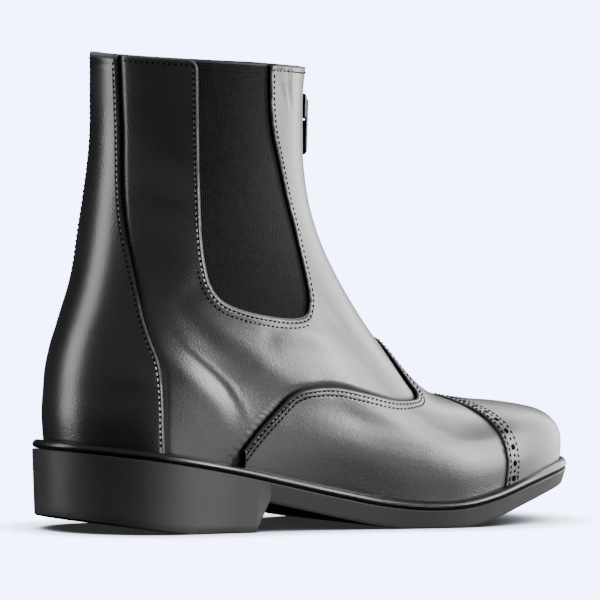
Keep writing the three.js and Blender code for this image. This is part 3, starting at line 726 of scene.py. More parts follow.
def elastic_finish():
    """Charcoal elastic with a trace of purple: a fuzzy fine weave with faint upright ribs, a
    hem line below its top edge, and painted near black within about three millimetres of
    the front leather's edge, as shade of the recess under that leather."""
    material, tree, shader = new_finish(
        "woven_elastic", {"Sheen Weight": 0.08, "Sheen Roughness": 0.5,
                          "Specular IOR Level": 0.12})
    place = object_place(tree)
    parts = [add_node(tree, "ShaderNodeSeparateXYZ", {}, {"Vector": place}, out=i)
             for i in (0, 2)]
    ribs = (parts[0] * (2 * math.pi / 0.0009)).sine()
    weft = (parts[1] * (2 * math.pi / 0.0007)).sine()
    fuzz, blotch = noise(tree, place, 1300.0, 4.0), noise(tree, place, 260.0, 3.0)
    hem = 1 - (attribute(tree, "top") - 3.4).size().ramp(0.0, 0.5)
    # Within about three millimetres of the front edge: painted shade of the recess under the
    # front leather.
    turned = 1 - attribute(tree, "front").ramp(2.9, 3.6)
    height = ribs * 0.25 + ribs * weft * 0.3 + fuzz * 1.6 - hem * 2.5
    shade = ribs * 0.05 + ribs * weft * 0.05 + fuzz * 0.8 + blotch * 0.35 - 0.15
    shade = shade * (1 - hem * 0.5)
    cloth = mixed(tree, shade.ramp(0.1, 0.8), (0.003, 0.0025, 0.0035, 1),
                  (0.021, 0.017, 0.022, 1))
    # Painted shade: the cloth goes near black along the front leather's edge.
    plug(tree, shader, Base_Color=mixed(tree, turned, cloth, grey(0.001)),
         Roughness=fuzz.ramp(0.3, 0.7, 0.88, 0.98), Normal=bump(tree, height, 0.00018, 0.8))
    return material


def gore_sink(ring, angle):
    """The elastic's face, drawn in deeper where it meets the front leather."""
    return GORE_OUT - 0.25 * (1 - np.clip(behind_gore_front(ring, angle) / 4, 0, 1))


elastic = elastic_finish()
for side_name, low, high in (("lateral", 22, 150), ("medial", 210, 338)):
    sheet = cut_sheet(np.linspace(7.5, COLLAR, 74), np.radians(np.linspace(low, high, 90)),
                      gore_depth)
    leather_piece(f"elastic_{side_name}", sheet, gore_sink, GORE_IN, [elastic] * 3,
                  [f"gore_{side_name}"], rounding=0.1,
                  layers={"top": below_collar(*sheet[:2]) - 0.9,
                          "front": behind_gore_front(*sheet[:2])})

# Zip. A coil zip up the front: a cloth tape behind the slit of the quarters, two rows of
# moulded teeth that meshed up the middle, sewn in with a row on each side.
TAPE_OUT, TAPE_IN = -1.45, -1.95
TAPE_TUCK = 1.6  # how far the tape runs on behind the leather
TOOTH_PITCH, TOOTH_PROUD = 1.5, 0.9


def tape_depth(ring, angle):
    """The tape reaches past both sides and the foot of the slit."""
    return TAPE_TUCK - slit_away(last(ring, angle))


woven_tape = plain_finish("woven_tape", 0.006, 0.014, 0.85, 1800.0, 0.0002)
tape_sheet = cut_sheet(np.linspace(8.6, COLLAR, 70), np.radians(np.linspace(150, 210, 41)),
                       tape_depth)
leather_piece("zip_tape_cloth", tape_sheet, TAPE_OUT, TAPE_IN, [woven_tape] * 3,
              ["zip_tape"], rounding=0.1)


def frames_of(points, normals):
    """Unit tangent, sideways and normal vectors along a row of points."""
    tangent = np.gradient(points, axis=0)
    tangent /= np.linalg.norm(tangent, axis=1, keepdims=True)
    sideways = np.cross(normals, tangent)
    sideways /= np.linalg.norm(sideways, axis=1, keepdims=True)
    return tangent, sideways, np.cross(tangent, sideways)


def repeat_shape(shape, faces, points, tangent, sideways, normal):
    """One small shape set on every point in its frame: x along, y sideways, z outwards."""
    placed = (points[:, None] + shape[None, :, :1] * tangent[:, None]
              + shape[None, :, 1:2] * sideways[:, None] + shape[None, :, 2:] * normal[:, None])
    shift = (np.arange(len(points)) * len(shape))[:, None, None]
    return placed.reshape(-1, 3), (faces[None] + shift).reshape(-1, faces.shape[1])


BLOCK = np.array([[x, y, z] for x in (-1, 1) for y in (-1, 1) for z in (-1, 1)], float)
BLOCK_FACES = np.array([[0, 1, 3, 2], [4, 6, 7, 5], [0, 4, 5, 1], [2, 3, 7, 6],
                        [0, 2, 6, 4], [1, 5, 7, 3]])


def row_up_front(spacing, low, high):
    """Points up the boot's front line, evenly spaced between two ring numbers."""
    ring = np.linspace(low, high, 400)
    point = last(ring, np.full(400, FRONT))
    run = np.concatenate([[0], np.cumsum(np.linalg.norm(np.diff(point, axis=0), axis=1))])
    ring = np.interp(np.arange(0, run[-1], spacing), run, ring)
    point, normal, _, _ = last_frame(ring, np.full(len(ring), FRONT))
    return point, normal


zip_black = plain_finish("zip_black", 0.012, 0.02, 0.35, 600.0, 0.00003)
tooth_point, tooth_normal = row_up_front(TOOTH_PITCH, 9.35, COLLAR - 0.05)
tangent, sideways, normal = frames_of(tooth_point, tooth_normal)
swing = np.where(np.arange(len(tooth_point)) % 2, 0.55, -0.55)[:, None]
tooth = BLOCK * [0.62, 1.15, 0.75]
tooth[BLOCK[:, 2] > 0, :2] *= 0.72
placed, faces = repeat_shape(tooth, BLOCK_FACES, tooth_point + sideways * swing
                             + normal * (TOOTH_PROUD - 0.75), tangent, sideways, normal)
piece("zip_teeth", placed, [faces], [zip_black], sharp=30)

# Back strip. Heel counter and back strip in one leather, wide at the welt and narrowing
# up to the top line, laid over the quarters and sewn once along each edge.
PANEL_IN, PANEL_OUT = 0.3, 1.6
PANEL_FOOT = 1.0  # how far above the sole each panel ends, behind the welt
STRIP_ROW = 1.7
RAW_BELOW = 96.0  # the strip's cut edge is left raw under this height

panel_calf = calf("panel_calf", rows=(STRIP_ROW,))
strip_sheet = cut_sheet(np.linspace(0.15, COLLAR, 190), np.radians(np.linspace(-46, 46, 84)),
                        strip_depth)


def strip_rim(outside, border):
    """Low on the counter the raw edge shows as a fine light line."""
    middle = (outside[border[:, 0]] + outside[border[:, 1]]) / 2
    return (middle[:, 2] < RAW_BELOW) | (middle[:, 2] > SHAFT_HEIGHT - 1)


strip_top = below_collar(*strip_sheet[:2])
strip_seam = np.minimum(millimetres(strip_depth, *strip_sheet[:2]), strip_top * 0.35)
strip_height = last(*strip_sheet[:2])[:, 2]
strip_bare = np.maximum(np.clip((RAW_BELOW + 4 - strip_height) / 8, 0, 0.6), strip_top < 2)
leather_piece("back_strip", strip_sheet, PANEL_OUT, PANEL_IN,
              [panel_calf, flesh_side, inked_edge, raw_edge],
              ["back_panel"], rim_group=strip_rim,
              layers={"seam": np.maximum(strip_seam, 0), "bare": strip_bare})

# Vamp. One leather over the forefoot, its rear edge laid over the quarters and sewn with
# two rows; it runs on under the toe cap and down behind the welt.
CAP_LAP = 3.0
VAMP_ROWS = (1.9, 3.8)


def above_sole(point, rise):
    """Height above the sole's top line, less rise."""
    return point[..., 2] - sole_top(point[..., 0]) - rise


def shade_behind_cap(ring, angle):
    """How close a point lies behind the toe cap's rear edge, from 1 beside it to 0: where the
    vamp is painted darker as shade of the cap's edge.
    """
    return np.exp(-(np.maximum(-cap_side(ring, angle) - 0.7, 0) / 0.9) ** 2)


def vamp_depth(ring, angle):
    """Depth into the vamp: ahead of its edge, short of the cap but for the lap."""
    inside = np.minimum(vamp_side(ring, angle), CAP_LAP - cap_side(ring, angle))
    return np.minimum(inside, above_sole(last(ring, angle), PANEL_FOOT))


vamp_calf = calf("vamp_calf", rows=VAMP_ROWS)
vamp_sheet = cut_sheet(np.linspace(0.0, 9.6, 170), np.radians(np.linspace(62, 298, 250)),
                       vamp_depth)
leather_piece("vamp_leather", vamp_sheet, PANEL_OUT, PANEL_IN,
              [vamp_calf, flesh_side, inked_edge], ["vamp"],
              layers={"seam": np.maximum(millimetres(vamp_side, *vamp_sheet[:2]), 0),
                      # Painted shade on the vamp beside the toe cap's rear edge.
                      "shade_beside_overlay": shade_behind_cap(*vamp_sheet[:2])})

# Toe cap. A cap of the same leather over the toe, its straight rear edge punched between
# two stitch rows with holes that alternate large and small.
CAP_IN, CAP_OUT = 1.65, 2.6
CAP_ROWS, HOLE_ROW = (1.7, 7.2), 4.5


def cap_depth(ring, angle):
    """Depth into the cap: ahead of its rear edge and above its foot."""
    return np.minimum(cap_side(ring, angle), above_sole(last(ring, angle), PANEL_FOOT))


cap_calf = calf("cap_calf", rows=CAP_ROWS)
cap_sheet = cut_sheet(np.linspace(0.0, 8.0, 130), np.radians(np.linspace(98, 262, 220)),
                      cap_depth)
leather_piece("cap_leather", cap_sheet, CAP_OUT, CAP_IN, [cap_calf, flesh_side, inked_edge],
              ["toe_cap"],
              layers={"seam": np.maximum(millimetres(cap_side, *cap_sheet[:2]), 0)})

# Stitching. Waxed black thread, a stitch about every two millimetres; each lies in the
# leather, dives at both ends, and follows its edge at an even distance.
STITCH_PITCH, STITCH_LENGTH, THREAD_RADIUS = 2.4, 1.85, 0.36


def trace(line):
    """Ring and angle of a side line on the outer side: the nearest grid point, then damped
    least-squares steps. Points that miss the last are left out."""
    rings, angles = np.meshgrid(np.linspace(0, COLLAR, 91), np.linspace(0.05, FRONT, 61),
                                indexing="ij")
    grid = last(rings, angles)[..., [0, 2]].reshape(-1, 2)
    nearest = ((line[:, None] - grid) ** 2).sum(-1).argmin(1)
    ring, angle = rings.ravel()[nearest], angles.ravel()[nearest]
    for _ in range(30):
        point, _, up, along = last_frame(ring, angle)
        slope = np.stack([up[:, [0, 2]], along[:, [0, 2]]], -1)
        full = np.stack([up, along], -1)
        turned = slope.transpose(0, 2, 1)
        normal_matrix = turned @ slope + 0.004 * full.transpose(0, 2, 1) @ full
        miss = (line - point[:, [0, 2]])[..., None]
        step = np.linalg.solve(normal_matrix, turned @ miss)[..., 0]
        ring = np.clip(ring + np.clip(step[:, 0], -0.5, 0.5), 0, COLLAR)
        angle = np.clip(angle + np.clip(step[:, 1], -0.3, 0.3), 0.01, FRONT)
    found = np.linalg.norm(line - last(ring, angle)[:, [0, 2]], axis=1) < 0.3
    return ring[found], angle[found]


def even(ring, angle, spacing):
    """Points a fixed distance apart along a chain."""
    point = last(ring, angle)
    run = np.concatenate([[0], np.cumsum(np.linalg.norm(np.diff(point, axis=0), axis=1))])
    count = max(int(round(run[-1] / spacing)), 2)
    at = (np.arange(count) + 0.5) * run[-1] / count
    return np.interp(at, run, ring), np.interp(at, run, angle)


def row_beside(ring, angle, depth, inset, spacing=STITCH_PITCH):
    """A row beside an outline: the chain settles where depth is nothing, steps straight in
    by inset, is spaced evenly, and settles again."""
    ring, angle = even(ring, angle, 1.0)
    for turn in range(2):
        for _ in range(4):
            here, by_ring, by_angle = slopes(depth, ring, angle)
            _, _, up, along = last_frame(ring, angle)
            g = np.stack([by_ring, by_angle], -1)
            climb = uphill(g, up, along)
            steep = np.maximum((g * climb).sum(-1), 0.05)
            goal = 0.0 if turn == 0 else inset * np.sqrt(steep)
            share = np.clip((goal - here) / steep, -3, 3)
            ring = np.clip(ring + share * climb[:, 0], 0, COLLAR)
            angle = angle + share * climb[:, 1]
        ring, angle = even(ring, angle, 1.0 if turn == 0 else spacing)
    return ring, angle


def capsule(length, radius, sections=5, sides=6):
    """A stitch: a round thread along x, thinner towards its ends, which dive down."""
    t = np.linspace(-1, 1, sections)
    turn = np.arange(sides) * 2 * np.pi / sides
    girth = radius * np.sqrt(np.clip(1.04 - t ** 4, 0.04, 1))
    x = np.repeat(t * length / 2, sides)
    y = (girth[:, None] * np.cos(turn)).ravel()
    z = (girth[:, None] * np.sin(turn) - (t ** 2 * radius * 1.1)[:, None]).ravel()
    i, j = np.meshgrid(np.arange(sections - 1), np.arange(sides), indexing="ij")
    k = (j + 1) % sides
    faces = np.stack([i * sides + j, i * sides + k, (i + 1) * sides + k, (i + 1) * sides + j], -1)
    return np.stack([x, y, z], -1), faces.reshape(-1, 4)[:, ::-1]


def thread_finish():
    """Waxed thread: nearly black, its twisted plies given only a fine even noise in tone,
    roughness and bump.
    """
    material, tree, shader = new_finish("waxed_thread", {"Specular IOR Level": 0.03})
    place = object_place(tree)
    fibre = noise(tree, place, 3000.0, 2.0)
    plug(tree, shader, Base_Color=mixed(tree, fibre, grey(0.002), grey(0.006)),
         Roughness=fibre.ramp(0.3, 0.7, 0.6, 0.8), Normal=bump(tree, fibre, 0.0001, 0.5))
    return material


waxed_thread = thread_finish()


def sew(name, rows, offset):
    """Stitches along rows of ring and angle, on a leather whose face lies at offset."""
    shape, faces = capsule(STITCH_LENGTH, THREAD_RADIUS)
    points, all_faces, start = [], [], 0
    for ring, angle in rows:
        point = skin(ring, angle, offset + 0.06)
        _, normal, _, _ = last_frame(ring, angle)
        placed, made = repeat_shape(shape, faces, point, *frames_of(point, normal))
        points.append(placed)
        all_faces.append(made + start)
        start += len(placed)
    piece(name, np.vstack(points), [np.vstack(all_faces)], [waxed_thread],
          sharp=60)


def both_sides(ring, angle):
    """The chain, and the same on the inner side."""
    return [(ring, angle), (ring, 2 * np.pi - angle)]


def across(ring, angle):
    """One chain that runs up the outer side, over the front line and down the inner one."""
    return (np.concatenate([ring, ring[::-1]]),
            np.concatenate([angle, 2 * np.pi - angle[::-1]]))


def only(row, chosen):
    """The chosen points of a row."""
    return row[0][chosen], row[1][chosen]


vamp_chain = across(*trace(vamp_line))
vamp_rows = [row_beside(*vamp_chain, vamp_side, inset) for inset in VAMP_ROWS]
sew("thread_vamp", [only(row, above_sole(last(*row), 4.5) > 0) for row in vamp_rows],
    PANEL_OUT)

cap_chain = across(*trace(cap_line))
cap_rows = [row_beside(*cap_chain, cap_side, inset) for inset in CAP_ROWS]


def row_in_place(row, inset, rise):
    """The part of a cap row that stands clear of the sole and at its true inset."""
    chosen = (above_sole(last(*row), rise) > 0) \
        & (np.abs(millimetres(cap_side, *row) - inset) < 0.5)
    return only(row, chosen)


sew("thread_cap", [row_in_place(row, inset, 4.5) for row, inset in zip(cap_rows, CAP_ROWS)],
    CAP_OUT)

strip_rings = np.linspace(0.9, COLLAR - 0.1, 200)
strip_reach = np.radians(smooth(STRIP_EDGE[:, 0], STRIP_EDGE[:, 1], strip_rings))
sew("thread_strip", [row_beside(strip_rings, side * strip_reach, strip_depth, STRIP_ROW)
                     for side in (1, -1)], PANEL_OUT)

gore_chain = trace(gore_line)
gore_inner = row_beside(*gore_chain, gore_side, QUARTER_ROW)
gore_outer = row_beside(*gore_chain, gore_side, GORE_SECOND_ROW)
gore_inner = only(gore_inner, last(*gore_inner)[:, 2] < SHAFT_HEIGHT - 4)
gore_outer = only(gore_outer, (gore_outer[1] < np.radians(98)) & (last(*gore_outer)[:, 2] < 112))
gore_rows = both_sides(*gore_inner) + both_sides(*gore_outer)
sew("thread_gore", gore_rows, 0.0)


def collar_row():
    """Ring and angle of a line just under the top line, but for zip, elastic and strip."""
    angle = np.linspace(0.3, FRONT - 0.14, 240)
    ring = np.full(len(angle), COLLAR)
    _, _, up, _ = last_frame(ring, angle)
    ring = ring - 2.4 / np.linalg.norm(up, axis=-1)
    clear = quarter_depth(ring, angle) > 0.7
    back = angle < np.pi / 2
    return [even(ring[clear & part], angle[clear & part], STITCH_PITCH)
            for part in (back, ~back)]


sew("thread_collar", [side for row in collar_row() for side in both_sides(*row)], 0.0)


zip_ring = np.linspace(9.4, COLLAR - 0.1, 120)
zip_angle = FRONT - 4.0 / np.linalg.norm(last_frame(zip_ring, np.full(120, FRONT))[3], axis=-1)
zip_row = row_beside(zip_ring, zip_angle, beside_slit, QUARTER_ROW)
sew("thread_zip", both_sides(*zip_row), 0.0)

# Punching. Holes through the cap only, drawn as near-black dull dishes on its face: the
# black leather behind, painted darker and duller than it is as the shade inside each hole.
# A large hole between every two small ones, on the line midway between the cap's stitch rows.
HOLE_PITCH, LARGE_HOLE, SMALL_HOLE = 3.3, 1.4, 0.72


def bowl(sides=12):
    """A shallow round dish of unit radius that faces outwards."""
    turn = np.arange(sides) * 2 * np.pi / sides
    edge = np.stack([np.cos(turn), np.sin(turn), np.zeros(sides)], -1)
    shape = np.vstack([edge * [1.0, 1.0, 1] + [0, 0, 0.02], edge * 0.8 + [0, 0, -0.02],
                       [[0, 0, -0.03]]])
    i = np.arange(sides)
    k = (i + 1) % sides
    outer = np.stack([i, k, sides + k, sides + i], -1)
    inner = np.stack([sides + i, sides + k, np.full(sides, 2 * sides), np.full(sides, 2 * sides)],
                     -1)
    return shape, outer, inner[:, :3]


# Painted shade: nearly black and without sheen, standing for the inside of each hole.
hole_shade_black = plain_finish("hole_shade_black", 0.001, 0.002, 0.95, 900.0, 0.00002,
                          {"Specular IOR Level": 0.05})
hole_row = row_beside(*cap_chain, cap_side, HOLE_ROW, HOLE_PITCH)
hole_row = row_in_place(hole_row, HOLE_ROW, 6.0)
hole_point = skin(*hole_row, CAP_OUT + 0.05)
hole_frame = frames_of(hole_point, last_frame(*hole_row)[1])
large = np.arange(len(hole_point)) % 2 == 0
dish, dish_rim, dish_middle = bowl()
points, rims, middles, start = [], [], [], 0
for chosen, radius in ((large, LARGE_HOLE), (~large, SMALL_HOLE)):
    frames = [f[chosen] for f in hole_frame]
    placed, made = repeat_shape(dish * [radius, radius, 1], dish_rim, hole_point[chosen], *frames)
    _, inner_faces = repeat_shape(dish, dish_middle, hole_point[chosen], *frames)
    points.append(placed)
    rims.append(made + start)
    middles.append(inner_faces + start)
    start += len(placed)
piece("cap_punching", np.vstack(points), [np.vstack(rims), np.vstack(middles)], [hole_shade_black],
      sharp=60)

# Insole. A board lined with smooth leather, seen only down the shaft.
sock = plain_finish("sock_leather", 0.07, 0.11, 0.6, 700.0, 0.0001, warmth=0.06)
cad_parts["insole"].data.materials.clear()
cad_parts["insole"].data.materials.append(sock)

# Outsole. Moulded rubber sole and heel block in one, satin on its side wall, with a shallow
# tread underneath; the heel's back corner is bevelled and its front face leans back.
HEEL_LENGTH, BREAST_UNDERCUT = 89.0, 6.5
HEEL_BEVEL_LENGTH, HEEL_BEVEL_RISE, HEEL_BEVEL_CURVE = 48.0, 6.6, 1.15
BALL_FLAT, TOE_THINNING, SOLE_DRAFT = 0.8, 2.0, 1.6
WELT_WIDTH = 5.5
BACK_OVERHANG, BOTH_OVERHANGS = 1.84, 1.7  # how far the outline passes the sole's length
WELT_WIDTHS = np.array([1.20, 0.91, 0.71, 0.69, 0.87, 0.98, 1.00])


def sole_edge(angle, extra):
    """Plan outline of the sole: the last near the feather line, moved out by the welt."""
    ring = np.ones_like(angle)
    point, normal, _, _ = last_frame(ring, angle)
    away = normal * [1, 1, 0]
    away /= np.linalg.norm(away, axis=-1, keepdims=True)
    degrees = np.degrees(angle) % 360
    share = smooth(np.arange(7) * 30.0, WELT_WIDTHS, np.minimum(degrees, 360 - degrees), True)
    return point + away * (share * WELT_WIDTH + extra)[:, None]


def plan_loop(stations, extra):
    """The outline resampled so that both sides share the same x stations."""
    dense = np.linspace(0, np.pi, 900)
    outer, inner = sole_edge(dense, extra), sole_edge(2 * np.pi - dense, extra)
    low, high = outer[0, 0], outer[-1, 0]
    x = lerp(low, high, stations)
    y_outer = np.interp(x, outer[:, 0], outer[:, 1])
    y_inner = np.interp(x, inner[:, 0], inner[:, 1])
    return (np.concatenate([x, x[-2:0:-1]]), np.concatenate([y_outer, y_inner[-2:0:-1]]),
            np.concatenate([y_inner, y_outer[-2:0:-1]]))


def sole_bottom(x):
    """Underside: bevel at the back, flat heel, the leaning breast, then the sole's curve
    with a small flat at the ball, thinning to the toe."""
    bevel = HEEL_BEVEL_RISE * np.clip(1 - x / HEEL_BEVEL_LENGTH, 0, 2) ** HEEL_BEVEL_CURVE
    foot = HEEL_LENGTH - BREAST_UNDERCUT
    ceiling = sole_top(HEEL_LENGTH) - SOLE_THICKNESS - BALL_FLAT
    breast = ceiling * (x - foot) / BREAST_UNDERCUT
    t = np.clip((x - 2 * HEEL_LENGTH) / (SOLE_LENGTH - 2 * HEEL_LENGTH), 0, 1)
    thinning = TOE_THINNING * t * t * (3 - 2 * t)
    forepart = np.maximum(0, sole_top(x) - SOLE_THICKNESS - BALL_FLAT + thinning)
    return np.where(x < foot, bevel, np.where(x < HEEL_LENGTH, breast, forepart))


def skin_loops(loops):
    """Quads between loops of equal length that lie one after another, each closed."""
    count = len(loops[0])
    i, j = np.meshgrid(np.arange(len(loops) - 1), np.arange(count), indexing="ij")
    k = (j + 1) % count
    faces = np.stack([i * count + j, i * count + k, (i + 1) * count + k, (i + 1) * count + j], -1)
    return np.vstack(loops), faces.reshape(-1, 4)


def rubber_finish(name, tread):
    """Satin moulded rubber: lighter on its side wall as painted light from the floor, near
    black underneath as painted shade. Underneath, shallow bars run across the sole in a fine
    pitch.
    """
    material, tree, shader = new_finish(name, {"Specular IOR Level": 0.32})
    place = object_place(tree)
    fine, broad = noise(tree, place, 900.0, 3.0), noise(tree, place, 34.0, 4.0, 0.6)
    normal = bump(tree, fine, 0.00006, 0.5)
    if tread:
        x = add_node(tree, "ShaderNodeSeparateXYZ", {}, {"Vector": place}, out=0)
        y = add_node(tree, "ShaderNodeSeparateXYZ", {}, {"Vector": place}, out=1)
        wave = (y * 420.0).sine()
        bars = (x * 1250.0 + wave).sine()
        normal = bump(tree, bars.ramp(-0.3, 0.1), 0.0008, 0.9, under=normal)
    # One rubber in two tones: the side wall lighter as painted floor light, the underside darker
    # as painted shade.
    low, high = (0.006, 0.01) if tread else (0.026, 0.038)
    plug(tree, shader, Base_Color=mixed(tree, broad, grey(low), grey(high)),
         Roughness=broad.ramp(0.3, 0.7, 0.44, 0.56), Normal=normal)
    return material


breast_x = np.linspace(HEEL_LENGTH - BREAST_UNDERCUT - 0.6, HEEL_LENGTH + 0.6, 12)
breast_shares = (breast_x + BACK_OVERHANG) / (SOLE_LENGTH + BOTH_OVERHANGS)
sole_stations = np.unique(np.concatenate([(1 - np.cos(np.linspace(0, np.pi, 220))) / 2,
                                          breast_shares]))
loops = []
for extra, drop in ((-30.0, None), (-1.1, 0.0), (-0.35, 0.12), (0.0, 0.55)):
    x, y, other = plan_loop(sole_stations, extra if drop is not None else -1.1)
    y = (y + other) / 2 if drop is None else y
    loops.append(np.stack([x, y, sole_top(x) - (drop or 0.0)], -1))
for share in (0.12, 0.3, 0.5, 0.7, 0.88, 1.0):
    x, y, _ = plan_loop(sole_stations, -SOLE_DRAFT * share)
    loops.append(np.stack([x, y, lerp(sole_top(x) - 0.55, sole_bottom(x) + 0.8, share)], -1))
for extra, rise in ((-SOLE_DRAFT - 0.25, 0.25), (-SOLE_DRAFT - 0.9, 0.0),
                    (-SOLE_DRAFT - 6.0, 0.0)):
    x, y, other = plan_loop(sole_stations, extra)
    loops.append(np.stack([x, y, sole_bottom(x) + rise], -1))
loops.append(np.stack([x, (y + other) / 2, sole_bottom(x)], -1))
points, faces = skin_loops(loops)
count = len(loops[0])
under = faces[:, 0] >= count * 10
piece("moulded_sole", points, [faces[~under][:, ::-1], faces[under][:, ::-1]],
      [rubber_finish("satin_rubber", False), rubber_finish("tread_rubber", True)],
      ["outsole"], groups=[0, 1], sharp=38)

# Welt. A glossy moulded bead laid round the sole's edge, half round outside, with a fine
# groove where it meets the sole and another where the upper goes down behind it.
BEAD = [(-1.6, 0.12), (-0.95, 0.35), (-0.35, 0.75), (0.0, 1.5), (-0.05, 2.2), (-0.45, 3.0),
        (-1.05, 3.6), (-1.8, 3.92), (-2.6, 3.95)]  # depth from the sole's edge, rise


def bead_loops():
    """Loops of the bead from its foot, up and over, and down behind, back to its foot."""
    angle = np.linspace(0, 2 * np.pi, 420, endpoint=False)
    loops = []
    for extra, rise in BEAD:
        loop = sole_edge(angle, extra)
        loop[:, 2] = sole_top(loop[:, 0]) + rise
        loops.append(loop)
    seat, normal, _, _ = last_frame(np.ones_like(angle), angle)
    away = normal * [1, 1, 0]
    away /= np.linalg.norm(away, axis=-1, keepdims=True)
    room = 1.9 + 0.9 * np.clip((seat[:, 0] - 190) / 25, 0, 1)
    for rise in (3.5, 0.12):
        loop = seat + away * room[:, None]
        loop[:, 2] = sole_top(loop[:, 0]) + rise
        loops.append(loop)
    return loops + loops[:1]


points, faces = skin_loops(bead_loops())
piece("welt_bead", points, [faces],
      [plain_finish("glossy_bead", 0.005, 0.009, 0.26, 500.0, 0.00003,
                    {"Specular IOR Level": 0.5})], ["welt"], sharp=50)

# Slider and pull. Cast metal, black, with their edges tumbled smooth; the pull hangs on
# its pin from the slider's bridge.
TUMBLED_WIDTH = 0.00018  # metres, like the solids that these two are made from

def tumbled(node, name, body, width):
    """A copy of a solid with its flat faces joined and its edges rounded."""
    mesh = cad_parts[node].data.copy()
    mesh.name = name
    work = bmesh.new()
    work.from_mesh(mesh)
    bmesh.ops.remove_doubles(work, verts=work.verts, dist=1e-6)
    bmesh.ops.dissolve_limit(work, angle_limit=0.02, verts=work.verts, edges=work.edges)
    edges = [e for e in work.edges if len(e.link_faces) == 2 and e.calc_face_angle(0) > 0.5]
    bmesh.ops.bevel(work, geom=edges, offset=width, segments=3, profile=0.5, affect="EDGES",
                    clamp_overlap=True)
    work.to_mesh(mesh)
    work.free()
    mesh.polygons.foreach_set("use_smooth", np.ones(len(mesh.polygons), bool))
    mesh.set_sharp_from_angle(angle=math.radians(40))
    mesh.materials.clear()
    mesh.materials.append(cast_black)
    obj = bpy.data.objects.new(name, mesh)
    bpy.context.scene.collection.objects.link(obj)
    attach(obj, body)
    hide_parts(node)


cast_black = plain_finish("cast_black", 0.02, 0.035, 0.3, 400.0, 0.00002, {"Metallic": 0.85})
tumbled("zip_slider", "slider_body", "boot", TUMBLED_WIDTH)
tumbled("zip_pull", "pull_tab", "pull", TUMBLED_WIDTH)

# Studio. A pale floor that runs on into the pale surround, soft boxes at the outer side and
# the toe, a narrow one behind the heel, a dim room, and a long lens from behind the heel.
SURROUND = (5.6, 6.5, 11.0)  # the surround's light; the picture's tone curve makes it near white
CAMERA_PLACE = np.array([-1440.37, -1942.86, 182.80])
CAMERA_RIGHT = Vector((0.7767, -0.6293, 0.0262))
CAMERA_UP = Vector((-0.0005, 0.0410, 0.9992))
CAMERA_FORWARD = Vector((0.6299, 0.7761, -0.0315))
FOCAL = 3850.0  # in pixels of the 600 pixel picture
CENTRE = (411.07, 311.41)
AIM, WINDOW = (406.0, 322.0), 400.0  # the pixel in the middle of the view, and its width


def make_camera():
    """A long lens that looks at the aimed pixel from the photo's place and roll."""
    forward = (CAMERA_FORWARD * FOCAL + CAMERA_RIGHT * (AIM[0] - CENTRE[0])
               + CAMERA_UP * (CENTRE[1] - AIM[1])).normalized()
    right = forward.cross(CAMERA_UP).normalized()
    up = right.cross(forward)
    data = bpy.data.cameras.new("camera")
    data.lens = 36.0 * FOCAL / WINDOW
    data.sensor_width = 36.0
    data.clip_start, data.clip_end = 0.1, 100.0
    camera = bpy.data.objects.new("camera", data)
    turn = Matrix((right, up, -forward)).transposed().to_4x4()
    camera.matrix_world = Matrix.Translation(Vector((CAMERA_PLACE - MIDDLE) / 1000)) @ turn
    bpy.context.scene.collection.objects.link(camera)
    bpy.context.scene.camera = camera


def soft_box(name, turn, rise, away, size, radiance):
    """An area light that looks at the boot's middle from a compass turn and a rise in
    degrees; its power is its radiance times pi times its area."""
    data = bpy.data.lights.new(name, "AREA")
    data.shape, data.size, data.size_y = "RECTANGLE", size[0], size[1]
    data.energy = radiance * math.pi * size[0] * size[1]
    light = bpy.data.objects.new(name, data)
    turn, rise = math.radians(turn), math.radians(rise)
    towards = Vector((math.cos(turn) * math.cos(rise), math.sin(turn) * math.cos(rise),
                      math.sin(rise)))
    place = Matrix.Translation(towards * away + Vector((0, 0, 0.09)))
    light.matrix_world = place @ (-towards).to_track_quat("-Z", "Y").to_matrix().to_4x4()
    light.visible_camera = False
    bpy.context.scene.collection.objects.link(light)


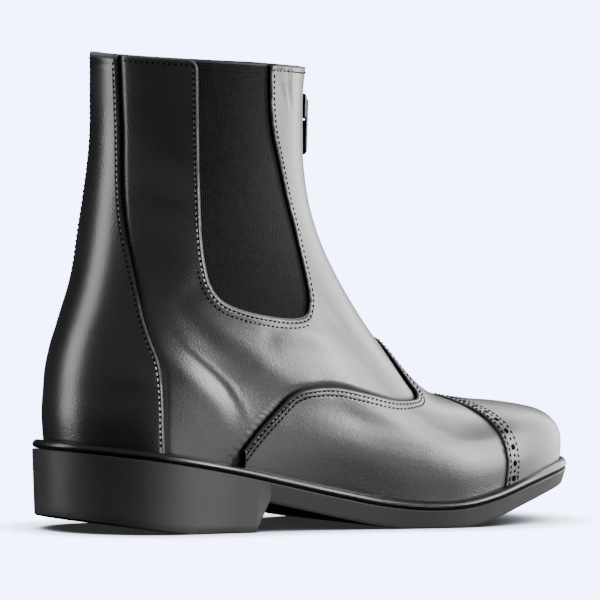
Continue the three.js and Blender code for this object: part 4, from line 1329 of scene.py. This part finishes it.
def make_floor():
    """A wide disc as bright as the surround, with a soft contact shadow painted in from
    ambient occlusion where the boot covers it. It takes no part in lighting the boot, which the
    room does."""
    bpy.ops.mesh.primitive_circle_add(vertices=96, radius=12.0, fill_type="NGON")
    floor = bpy.context.object
    floor.name = "floor"
    material, tree, shader = new_finish(
        "floor_white", {"Base Color": (0, 0, 0, 1), "Roughness": 1.0,
                        "Specular IOR Level": 0.0, "Emission Strength": 1.0})
    # Painted contact shadow: the floor's glow dims with ambient occlusion under and beside the
    # boot.
    cover = add_node(tree, "ShaderNodeAmbientOcclusion", {"samples": 24},
                     {"Distance": 0.03}, out=1)
    shade = mixed(tree, cover.ramp(0.0, 0.75) ** 2.0, grey(0.03), (3.0, 3.2, 3.9, 1))
    glow = mixed(tree, cover.ramp(0.7, 0.98), shade, (*SURROUND, 1))
    plug(tree, shader, Emission_Color=glow)
    floor.data.materials.append(material)
    floor.visible_glossy = floor.visible_diffuse = floor.visible_shadow = False


def make_surround():
    """The pale surround that the camera sees, and the dim room that lights the boot."""
    world = bpy.data.worlds.new("surround")
    bpy.context.scene.world = world
    world.use_nodes = True
    tree = world.node_tree
    tree.nodes.clear()
    seen = add_node(tree, "ShaderNodeLightPath", {}, {}, out=0)
    way = add_node(tree, "ShaderNodeTexCoord", {}, {}, out=0)
    height = add_node(tree, "ShaderNodeSeparateXYZ", {}, {"Vector": way}, out=2)
    beyond = add_node(tree, "ShaderNodeVectorMath", {"operation": "DOT_PRODUCT"},
                      {0: way, 1: (0.0, 1.0, 0.0)}, out="Value")
    strength = height.ramp(-0.25, 0.1, 0.01, 0.34) * beyond.ramp(0.5, 0.85, 1, 0.15)
    room = add_node(tree, "ShaderNodeBackground", {},
                    {"Color": (1, 1, 1, 1), "Strength": strength})
    pale = add_node(tree, "ShaderNodeBackground", {}, {"Color": (*SURROUND, 1), "Strength": 1.0})
    both = add_node(tree, "ShaderNodeMixShader", {}, {0: seen, 1: room, 2: pale})
    output = tree.nodes.new("ShaderNodeOutputWorld")
    tree.links.new(both.socket, output.inputs["Surface"])


make_camera()
make_floor()
make_surround()
soft_box("box_outer_toe", 324, 13, 1.5, (0.9, 1.0), 12.5)
soft_box("box_outer_low", 312, 5, 1.5, (0.26, 0.55), 20.0)
soft_box("box_floor_bounce", 292, -17, 1.3, (0.3, 0.3), 4.5)
soft_box("box_toe", 5, 16, 1.5, (1.35, 1.4), 5.0)
soft_box("box_cap", 44, 28, 1.5, (0.8, 0.5), 3.2)
soft_box("box_heel", 157, 13, 1.3, (0.55, 1.2), 6.8)
